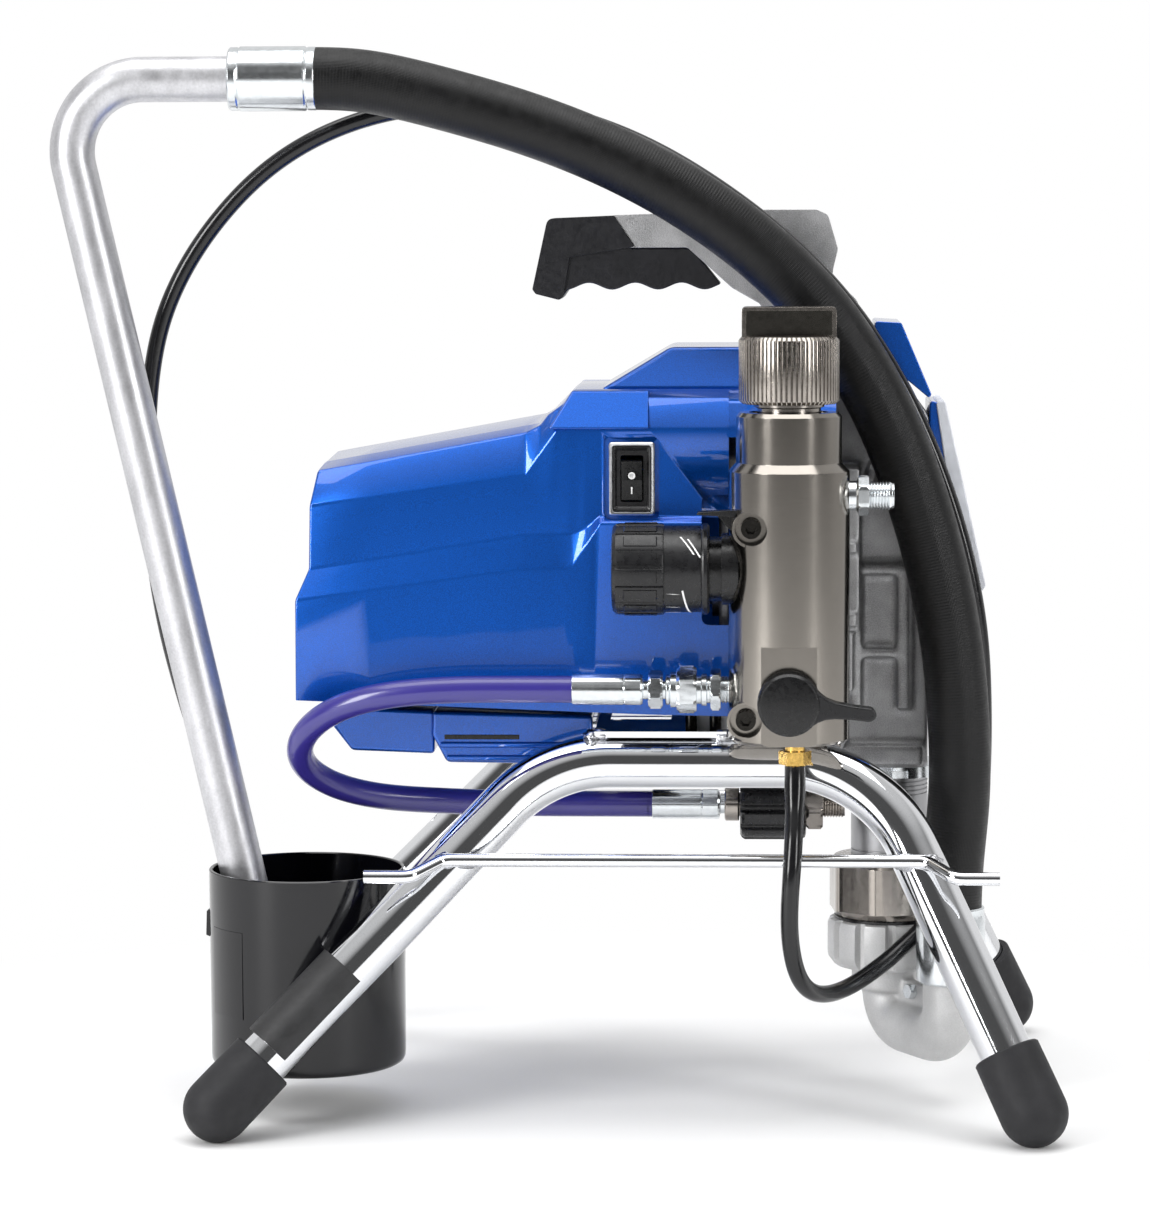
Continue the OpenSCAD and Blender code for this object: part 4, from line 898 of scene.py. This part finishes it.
def build_suction_line():
    ferrules_low, ferrules_high = span("hose_ferrules")
    tube_low, tube_high = span("suction_tube")
    y = (tube_low.y + tube_high.y) / 2
    top_z = tube_high.z - 11
    lean, bend = radians(12.76), 35
    corner_x = tube_low.x + 11 - bend * (tan(lean) + 1 / cos(lean) - 1)
    end = Vector((corner_x + (top_z - tube_low.z - 2.5) * tan(lean), y, tube_low.z + 2.5))
    path = [(ferrules_low.x + 20, y, top_z), (corner_x, y, top_z), end]
    mesh_piece("suction_tube_bent", sweep(filleted(path, bend, 2), 11, 48)[0], TUBE_METAL,
               ["suction_tube"], sharp=60)
    branch = Vector((ferrules_high.x - 17, -50))
    line = [(ferrules_low.x + 41, y, top_z), (-87, y, top_z), (23.3, y + 1, 474.7), (107.5, y + 2, 422.1),
            (158.5, -53, 356.4), (192, -51, 257), (200, -50, 167.3), (branch.x, branch.y, 118),
            (branch.x, branch.y, ferrules_low.z + 25)]
    hose_piece("suction_hose_rubber", relaxed(line, 4, 12), HOSE_R, CLOTH, ["suction_hose"], 48)
    crimp = polygon_section(12, 31.0)
    upper = [(11.1, 0), (14.6, 0), (15.4, 0.8), (15.4, 4), (15.0, 4.8), (15.7, 5.5), (15.7, 37), (15.0, 37.8),
             (15.4, 38.6), (15.4, 42), (14.9, 42.8), (13.2, 42.8), (13.2, 20), (11.1, 20)]
    lower = [(9.8, 0), (15.6, 0), (16.6, 1), (17, 5), (17, 32), (16.4, 34), (16.6, 37.2), (15.9, 38),
             (14.4, 38), (14.4, 10), (9.8, 10)]
    shape = join(lathe_x(upper, (ferrules_low.x, y, top_z), crimp),
                 moved(turned(lower, polygon_section(12, 33.6), 96), (branch.x, branch.y, ferrules_low.z)))
    mesh_piece("crimped_ferrules", shape, ZINC, ["hose_ferrules"], sharp=18)


def build_drain_line():
    fitting = centre("drain_fitting")
    x, y = fitting.xy
    top = span("drain_fitting")[0].z + 4
    line = [(x, y, top), (x, y - 1, top - 17), (x - 1, -122, 136), (x - 4, -120, 95), (121.5, -106, 63.5),
            (150, -50.1, 60), (205, -18.2, 106), (212, -31, 170), (207.5, -37.2, 262), (170, -37, 363),
            (115, -36.5, 431), (26, -34, 488), (-62, -34, 498), (-132, -34, 476), (-181, -36, 425),
            (-204, -37, 367), (-202, -37, 262), (-180, -37, 178), (-158, -38, 126), (-149, -40, 70)]
    thin = level([(0, 5.1), (13, 5.1), (22, 4.6), (60, 4.3), (120, 4.2)])
    hose_piece("drain_hose_pvc", relaxed(line, 3, 10), thin, DRAIN, ["drain_hose"], 28)


def build_elbow():
    low = span("suction_elbow")[0]
    branch = Vector((span("hose_ferrules")[1].x - 17, -50, 0))
    pump = Vector((PUMP_X, 0, 0))
    reach = (branch - pump).length
    bend_z = low.z + 13.5 + reach / 2
    up = Vector((0, 0, 1))
    bottom = up * (bend_z - reach / 2)
    path = [pump + up * (bend_z + 8), pump + bottom, branch + bottom, branch + up * (bend_z + 6)]
    middle, across = (pump + branch) / 2, (branch - pump).normalized()
    lobes = sweep(filleted(path, reach / 2 - 0.2, 2), 13.6, 36)[0]
    neck = moved(turned([(0, 0), (17.4, 0), (18.8, 1.5), (18.8, 13)], steps=64), pump + up * 50.5)
    web = [middle + across * dx + up * (bend_z + dz)
           for dx, dz in ((-22, -22), (22, -22), (18, -5), (-18, -5))]
    front = up.cross(across)
    plate = loft([[p + front * 3.5 for p in web], [p - front * 3.5 for p in web]])
    obj = mesh_piece("suction_elbow_casting", join(lobes, neck, plate), ELBOW, ["suction_elbow"])
    cast(obj, 1.0, 8)
    hexagon = turned([(0, 0), (3.4, 0), (4.2, 0.6), (4.2, 3.4), (3.6, 4), (0, 4)], polygon_section(6, 7), 48)
    front = front if front.y < 0 else -front
    screw = aimed(hexagon, middle + up * (bend_z - 9) + front * 3.2, front)
    mesh_piece("elbow_set_screw", screw, ZINC, sharp=25)
    barb = turned([(13.8, 0), (13.8, 3), (12.6, 4.2), (9.6, 4.2), (9.6, 16), (0, 16)], steps=64)
    mesh_piece("elbow_hose_barb", moved(barb, branch + up * (bend_z + 3)), ELBOW, sharp=25)


# ---------------------------------------------------------------- pump

def build_pump():
    place = (PUMP_X, 0, span("intake_housing")[0].z)
    body = [(0, 0), (21, 0), (22, 1), (22, 16.5), (27.2, 16.6), (30.6, 20), (30.6, 43), (27.6, 46.4),
            (24, 46.5), (0, 46.5)]
    octagon = aimed(turned(body, polygon_section(8, 57.5), 96), place, (0, 0, 1), radians(30.5))
    mesh_piece("intake_housing_octagon", octagon, NICKEL_PLAIN, ["intake_housing"], sharp=20)
    place = (PUMP_X, 0, span("suction_nut")[0].z)
    nut = [(18.9, 0), (26.6, 0), (28, 1), (30.6, 4.5), (31, 6), (31, 21), (30, 23.4), (28.5, 24),
           (22.1, 24), (22.1, 4.2), (18.9, 4.2)]
    lobed = moved(turned(nut, fluted_section(40, 12, 12.5, 0.42), 144), place)
    mesh_piece("suction_nut_lobed", lobed, ELBOW, ["suction_nut"], sharp=24, body="suction_nut")


# ---------------------------------------------------------------- manifold fittings

def build_filter_cap():
    x, y = MANIFOLD
    low, high = span("filter_cap")
    knurl_z = high.z - 46
    collar = knurl_z - low.z
    ribs = fluted_section(24, 62, 0.75, 0.42)
    body = [(0, 0), (22.3, 0), (23.9, 1.6), (24, 2), (24, 30), (23.9, 30.4), (22.4, 32), (0, 32)]
    neck = [(0, 0), (18.4, 0), (18.8, 0.6), (18.8, collar - 6.5), (15.2, collar - 6), (15.2, collar - 2),
            (16.8, collar - 1.5), (16.8, collar + 1), (0, collar + 1)]
    shape = join(moved(turned(body, ribs, 620), (x, y, knurl_z)), moved(turned(neck), (x, y, low.z)))
    mesh_piece("filter_cap_knurled", shape, NICKEL_PLAIN, ["filter_cap"], sharp=22, body="filter_cap")
    bar_z = knurl_z + 31.5
    grip = rounded(box_outline(x - 22.4, bar_z, x + 22.4, high.z), [0.2, 0.2, 2, 2])
    mesh_piece("filter_cap_bar", prism(grip, y - 9, y + 9), NICKEL_PLAIN, bevel=1.5, body="filter_cap")
    face = rounded(box_outline(x - 20.4, bar_z + 1, x + 20.4, high.z - 1.7), 0.4)
    for side, name in ((-1, "near"), (1, "far")):
        y0, y1 = sorted((y + side * 8.6, y + side * 9.12))
        mesh_piece(f"filter_cap_face_{name}", prism(face, y0, y1), DARK_NICKEL, bevel=0.1, body="filter_cap")


def threaded(radius, depth, pitch, length):
    """Profile points of a thread drawn as grooves, from z = 0."""
    points, z = [], 0.0
    while z + pitch <= length:
        points += [(radius - depth, z), (radius, z + pitch * 0.38), (radius, z + pitch * 0.58)]
        z += pitch
    return points + [(radius - depth, length)]


def build_outlet():
    low, high = span("outlet_nipple")
    length = high.x - low.x
    profile = [(6, 0), (6, 5), (7.2, 5.4), (7.2, 9), (7.4, 9.2), (9.0, 10), (9.7, 10.8), (9.7, 14.2),
               (9.0, 15), (6.2, 15.2)]
    profile += [(r, z + 15.6) for r, z in threaded(6.9, 0.75, 1.41, length - 16.6)]
    profile += [(6.0, length), (4.4, length), (3.2, length - 1.5), (3.2, 4)]
    place = (low.x, MANIFOLD[1], centre("outlet_nipple").z)
    shape = lathe_x(profile, place, polygon_section(6, 16.7), radians(90))
    mesh_piece("outlet_nipple_threaded", shape, ZINC, ["outlet_nipple"], sharp=20)


def build_pressure_knob():
    place = (KNOB_X, MANIFOLD[1], KNOB_Z)
    ribs, start = 15, radians(6)
    style = {"sharp": 24, "body": "pressure_knob"}
    ribbed = [(0, 0.6), (17.5, 0.5), (20.3, 1.0), (21.6, 2.6), (21.9, 4.2), (21.9, 24.4), (21.5, 25.4),
              (20.7, 25.6)]
    knob = lathe_x(ribbed, place, fluted_section(22.2, ribs, 1.1, 0.16), start, ribs * 16)
    mesh_piece("pressure_knob_grip", knob, KNOB, ["pressure_knob"], **style)
    plain = [(20.7, 25.6), (20.7, 43.2), (21.6, 43.8), (21.9, 44.6), (21.8, 46.2), (20.6, 47), (0, 47)]
    mesh_piece("pressure_knob_skirt", lathe_x(plain, place), KNOB, **style)
    pads = []
    for k in range(ribs):
        middle = tau * (k + 0.5) / ribs + start
        angles = [middle + tau / ribs * 0.3 * t / 4 for t in range(-4, 5)]
        rings = []
        for x, r in ((6.0, 21.6), (6.8, 22.35), (22.0, 22.35), (22.8, 21.6)):
            outer = [on_knob(x, r, a) for a in angles]
            rings.append(outer + [on_knob(x, r * 0.93, a) for a in reversed(angles)])
        pads.append(loft(rings))
    mesh_piece("pressure_knob_pads", join(*pads), KNOB, **style)
    # A plain wedge scale round the band: long curved strokes and tick marks
    strokes = [(-155, -20, 34.5, 43.0, 0.9), (132, 160, 37.0, 43.0, 0.8), (128, 156, 33.5, 40.0, 0.8)]
    strokes += [(-150 + 26 * k, -149 + 26 * k, 28 - k * 0.2, 32, 2.6) for k in range(5)]
    marks = [band_stroke(radians(start), radians(end), *rest) for start, end, *rest in strokes]
    mesh_piece("pressure_knob_scale", join(*marks), MARK, sharp=40, body="pressure_knob")


def on_knob(x, r, a):
    """A point of the knob, x from its end, by radius and angle."""
    return KNOB_X + x, MANIFOLD[1] + r * cos(a), KNOB_Z + r * sin(a)


def band_stroke(start, end, x_start, x_end, width):
    """A printed stroke on the knob's band, from one angle to another."""
    rows = []
    for r, half in ((20.55, -width / 2), (20.55, width / 2), (20.78, width / 2), (20.78, -width / 2)):
        rows.append([on_knob(x_start + (x_end - x_start) * t + half, r, start + (end - start) * t)
                     for t in (k / 24 for k in range(25))])
    return closed_strip(rows)


def build_pointer():
    low = span("pointer_bracket")[0]
    y = MANIFOLD[1] - 8
    flag = [(low.x, low.z), (88, low.z - 1.2), (90.5, low.z + 1.6), (88, low.z + 2.2),
            (low.x + 1, low.z + 1.2)]
    fin = [(79, low.z), (89.5, low.z - 11.5), (89.5, low.z + 1)]
    shape = join(prism(flag, y - 7, y + 3), prism(fin, y - 1.2, y + 1.2))
    mesh_piece("pointer_flag", shape, BLACK, ["pointer_bracket"], bevel=0.4)


def build_valve():
    front = span("valve_handle")[0].y
    place = Vector((MANIFOLD[0], front, centre("valve_base").z))
    r, start, length = 15.0, radians(33), 41.5
    rim = [start + (tau - 2 * start) * k / 40 for k in range(41)]
    lower = [(14.6, -6.6), (17.5, -5.0), (22, -3.9), (30, -3.3), (38.8, -3.3), (length - 0.8, -1.9),
             (length, 0)]
    outline = [Vector((r * cos(a), r * sin(a))) for a in rim] + [Vector(p) for p in lower]
    outline += [Vector((x, -z)) for x, z in reversed(lower[:-1])]
    tilt = Matrix.Rotation(radians(-7), 2)
    outline = [tilt @ p + place.xz for p in outline]
    disc = [(0, 0), (11, 0.15), (13.6, 0.7), (14.8, 1.9), (15.0, 3.4), (15.0, 12.8), (14.4, 13.6), (0, 13.6)]
    collar = [(0, 13), (14.2, 13), (14.6, 13.5), (14.6, 15.6), (13.6, 16.2), (0, 16.2)]
    handle = join(*(aimed(turned(part, steps=96), place, (0, 1, 0)) for part in (disc, collar)))
    mesh_piece("valve_handle_disc", handle, BLACK, ["valve_handle"], sharp=28, body="prime_valve")
    lever = prism(outline, front + 1.6, front + 11.5)
    mesh_piece("valve_handle_lever", lever, KNOB, bevel=2.2, body="prime_valve")


# ---------------------------------------------------------------- paint hose

def build_paint_hose():
    y, z = MANIFOLD[1], PAINT_HOSE_Z
    x = span("paint_hose_fittings")[0].x
    y2, z2 = COUPLER.y, COUPLER.z
    hexagon = lambda flats: polygon_section(6, flats)
    line = [(x + 4, y, z), (-72, y, z), (-114, -92, z - 13), (-131, -68, 175), (-104, -40, 153),
            (-44, y2 - 3, z2 + 1), (-10, y2, z2), (46, y2, z2)]
    hose_piece("high_pressure_hose", relaxed(line, 2.5, 14), 6.5, BRAID, ["paint_hose"], 32)
    sleeve = [(6.5, 0), (7.2, 0.2), (7.4, 1), (7.4, 24.6), (7.1, 25), (7.5, 25.6), (7.5, 33), (6.8, 34),
              (4.8, 34.4), (4.8, 37)]
    first, second = (lathe_x(sleeve, place, polygon_section(8, 14.4))
                     for place in ((x, y, z), (45.7, y2, z2)))
    nut = [(4.8, 0), (8.0, 0.1), (9.3, 1.2), (9.3, 6), (8.0, 7.1), (4.8, 7.2), (4.8, 20)]
    ends = join(first, lathe_x(nut, (x + 36.6, y, z), hexagon(16.2), radians(20)), second)
    mesh_piece("hose_end_fittings", ends, ZINC, ["paint_hose_fittings"], sharp=18)
    tail = [(0, 0), (7.8, 0), (8.4, 0.6), (8.4, 6.6), (8.1, 7.2), (6, 7.4), (6, 26), (0, 26)]
    mesh_piece("lower_hose_collar", lathe_x(tail, (82.2, y2, z2), steps=72), NICKEL_PLAIN, sharp=25)
    swivel = [(5.1, 0), (6.9, 0), (7.4, 0.5), (7.4, 1.6), (6.9, 2), (8.6, 2.4), (8.6, 5.2), (9.6, 5.3),
              (11.5, 6.8), (11.5, 13.4), (10.2, 14.9), (7.1, 15), (7.1, 9), (5.1, 9)]
    shape = lathe_x(swivel, (span("swivel_nut")[0].x, y, z), hexagon(20), radians(30))
    mesh_piece("swivel_nut_hex", shape, ZINC, ["swivel_nut"], sharp=20, body="swivel_nut")
    low, high = span("hose_adapter")
    length = high.x - low.x
    rod = [(0, 0), (6.9, 0), (6.9, 3), (7.8, 3.3), (7.8, 5.6), (6.6, 6), (6.6, 7.2), (9.4, 7.6), (10.3, 8.4),
           (10.3, 11.6), (9.4, 12.4), (6.2, 12.6)]
    rod += [(r, a + 12.8) for r, a in threaded(6.6, 0.6, 1.41, length - 14)] + [(0, length)]
    shape = lathe_x(rod, (low.x, y, z), hexagon(18), radians(12))
    mesh_piece("manifold_adapter", shape, ZINC, ["hose_adapter"], sharp=20)


def build_coupler():
    low, high = span("coupler_knob")
    y, z = COUPLER.y, COUPLER.z
    body = [(6.2, 0), (15, 0), (16.6, 0.8), (17.6, 2.2), (17.6, 30.6), (16.4, 32.4), (14.5, 33), (6.9, 33)]
    knob = lathe_x(body, (low.x, y, z), fluted_section(17.6, 10, 2.6, 0.42), steps=160)
    mesh_piece("coupler_knob_ribbed", knob, KNOB, ["coupler_knob"], sharp=24, body="coupler_knob")
    nut = [(6.9, 0), (11.2, 0.1), (12.6, 1.4), (12.6, 7.4), (11.3, 8.5), (6.9, 8.6)]
    nut = lathe_x(nut, (low.x + 32.9, y, z), polygon_section(6, 22), radians(14))
    mesh_piece("coupler_nut_hex", nut, NICKEL_PLAIN, sharp=20, body="coupler_knob")
    # Threaded outlet stub of the pump, reaching from its cylinder into the coupler
    stub = [(0, 0), (6.2, 0), *((r, a + 0.5) for r, a in threaded(6.5, 0.6, 1.4, 10)), (6.0, 11), (0, 11)]
    stub = lathe_x(stub, (high.x + 0.4, y, z), steps=64)
    mesh_piece("pump_outlet_stub", stub, NICKEL_PLAIN, sharp=25)


# ---------------------------------------------------------------- switch

def build_switch():
    x, z = SWITCH.x, SWITCH.z
    y0 = span("switch_bezel")[0].y

    def stepped(steps, radius):
        """Rounded rectangles of half width and half height, each at its own depth."""
        rings = []
        for w, h, depth in steps:
            outline = rounded(box_outline(x - w, z - h, x + w, z + h), radius)
            rings.append([(px, y0 + depth, pz) for px, pz in outline])
        return loft(rings, caps=False)

    frame_steps = [(11.0, 17.7, 1.8), (11.1, 17.8, 0.6), (10.5, 17.2, 0), (9.6, 16.3, 0.2), (9.1, 15.8, 1.4),
                   (9.1, 15.8, 2.4)]
    mesh_piece("switch_frame", stepped(frame_steps, 1.6), BEZEL, ["switch_bezel"], sharp=30)
    well_steps = [(9.2, 15.9, 0.9), (9.0, 15.7, 0.5), (8.4, 15.1, 0.7), (7.4, 13.6, 1.9), (5.6, 11.4, 1.9),
                  (5.5, 11.3, 2.3), (5.5, 11.3, 11)]
    mesh_piece("switch_housing", stepped(well_steps, 1.2), KNOB, sharp=30)
    # The rocker's marks: a ring for off and a bar for on
    ring = turned([(1.1, 0), (1.1, 0.3), (1.75, 0.3), (1.75, 0)], steps=32)
    face = span("power_rocker")[0].y
    marks = [aimed(ring, (x, face + 1.3, z + 1.6), (0, -1, -0.1)),
             block((x - 0.35, face + 0.1, z - 7.2), (x + 0.35, face + 0.6, z - 3.8))]
    mesh_piece("rocker_marks", join(*marks), MARK, sharp=40, body="power_rocker")


# ---------------------------------------------------------------- studio

def build_studio():
    scene = bpy.context.scene
    scene.view_settings.view_transform = "Standard"
    size = 6.0
    floor = bpy.data.meshes.new("studio_floor")
    corners = [(x, y, 0) for x, y in box_outline(-size, -size, size, size)]
    floor.from_pydata(corners, [], [(0, 1, 2, 3)])
    floor_obj = bpy.data.objects.new("studio_floor", floor)
    scene.collection.objects.link(floor_obj)
    f = Finish("studio_white", (0.93, 0.93, 0.93), 0.6)
    f.shade(f.noise(400), 0.99, 1.0)
    floor.materials.append(f.material)
    fade_to_white(f.material)
    world = bpy.data.worlds.new("studio")
    scene.world = world
    world.use_nodes = True
    tree = world.node_tree
    view = tree.nodes["Background"]
    view.inputs["Color"].default_value = (1, 1, 1, 1)
    direction = add_node(tree, "TexCoord", {}).outputs["Generated"]
    split = add_node(tree, "SeparateXYZ", {0: direction})
    # Bright behind the object, a dark room behind the camera, and a lit ceiling
    back = smooth_range(tree, split.outputs["Y"], (-0.35, 0.35), (0.10, 1.0))
    ceiling = smooth_range(tree, split.outputs["Z"], (0.45, 0.8), (0.0, 0.75))
    brightest = add_node(tree, "Math", {0: back, 1: ceiling}, operation="MAXIMUM")
    around = add_node(tree, "Background", {"Strength": brightest.outputs[0]})
    seen = add_node(tree, "LightPath", {}).outputs["Is Camera Ray"]
    mix = add_node(tree, "MixShader", {0: seen, 1: around.outputs[0], 2: view.outputs[0]})
    tree.links.new(mix.outputs[0], tree.nodes["World Output"].inputs["Surface"])
    softbox("key_left", (-1.75, -1.75, 1.05), (0.75, 1.5), 46)
    softbox("fill_right", (1.9, -1.65, 0.95), (0.5, 1.3), 20)
    softbox("top", (0.0, -0.25, 2.3), (2.4, 1.6), 38)


def smooth_range(tree, value, given, wanted):
    """Maps one range of values to another with soft ends."""
    inputs = {"Value": value, "From Min": given[0], "From Max": given[1],
              "To Min": wanted[0], "To Max": wanted[1]}
    return add_node(tree, "MapRange", inputs, interpolation_type="SMOOTHSTEP").outputs[0]


def fade_to_white(material):
    """Away from the object the camera sees the floor as plain white, so no horizon shows."""
    tree = material.node_tree
    surface = next(n for n in tree.nodes if n.type == "OUTPUT_MATERIAL").inputs["Surface"]
    lit = surface.links[0].from_socket
    place = add_node(tree, "NewGeometry", {}).outputs["Position"]
    flat = add_node(tree, "VectorMath", {0: place, 1: (1.0, 1.15, 0.0)}, operation="MULTIPLY")
    away = add_node(tree, "VectorMath", {0: flat.outputs[0]}, operation="LENGTH").outputs["Value"]
    far = smooth_range(tree, away, (0.24, 0.52), (0.0, 1.0))
    camera_ray = add_node(tree, "LightPath", {}).outputs["Is Camera Ray"]
    share = add_node(tree, "Math", {0: far, 1: camera_ray}, operation="MULTIPLY").outputs[0]
    white = add_node(tree, "Emission", {"Color": (1, 1, 1, 1)}).outputs[0]
    mix = add_node(tree, "MixShader", {0: share, 1: lit, 2: white})
    tree.links.new(mix.outputs[0], surface)


def softbox(name, place, size, power):
    light = bpy.data.lights.new(name, "AREA")
    light.shape = "RECTANGLE"
    light.size, light.size_y = size
    light.energy = power
    obj = bpy.data.objects.new(name, light)
    bpy.context.scene.collection.objects.link(obj)
    obj.location = place
    obj.rotation_euler = (Vector((0, 0, 0.25)) - Vector(place)).to_track_quat("-Z", "Y").to_euler()
    obj.visible_camera = False


def build_camera():
    data = bpy.data.cameras.new("camera")
    data.lens = 126.5
    data.sensor_width = 36
    data.clip_start = 0.05
    camera = bpy.data.objects.new("camera", data)
    bpy.context.scene.collection.objects.link(camera)
    yaw, pitch, roll = radians(2.687), radians(5.506), radians(-0.246)
    forward = Vector((-sin(yaw) * cos(pitch), cos(yaw) * cos(pitch), -sin(pitch)))
    right = Vector((cos(yaw), sin(yaw), 0))
    up = right.cross(forward)
    right, up = right * cos(roll) + up * sin(roll), up * cos(roll) - right * sin(roll)
    turn = Matrix((right, up, -forward)).transposed().to_4x4()
    camera.matrix_world = Matrix.Translation((0.1064, -2.1225, 0.4504)) @ turn
    bpy.context.scene.camera = camera


paint_cad_nodes()
build_stand()
build_racks()
build_cup()
build_shroud()
build_top_cover()
build_lower_pan()
build_front_covers()
build_housing()
build_handle()
build_suction_line()
build_drain_line()
build_elbow()
build_pump()
build_filter_cap()
build_outlet()
build_pressure_knob()
build_pointer()
build_valve()
build_paint_hose()
build_coupler()
build_switch()
build_studio()
build_camera()
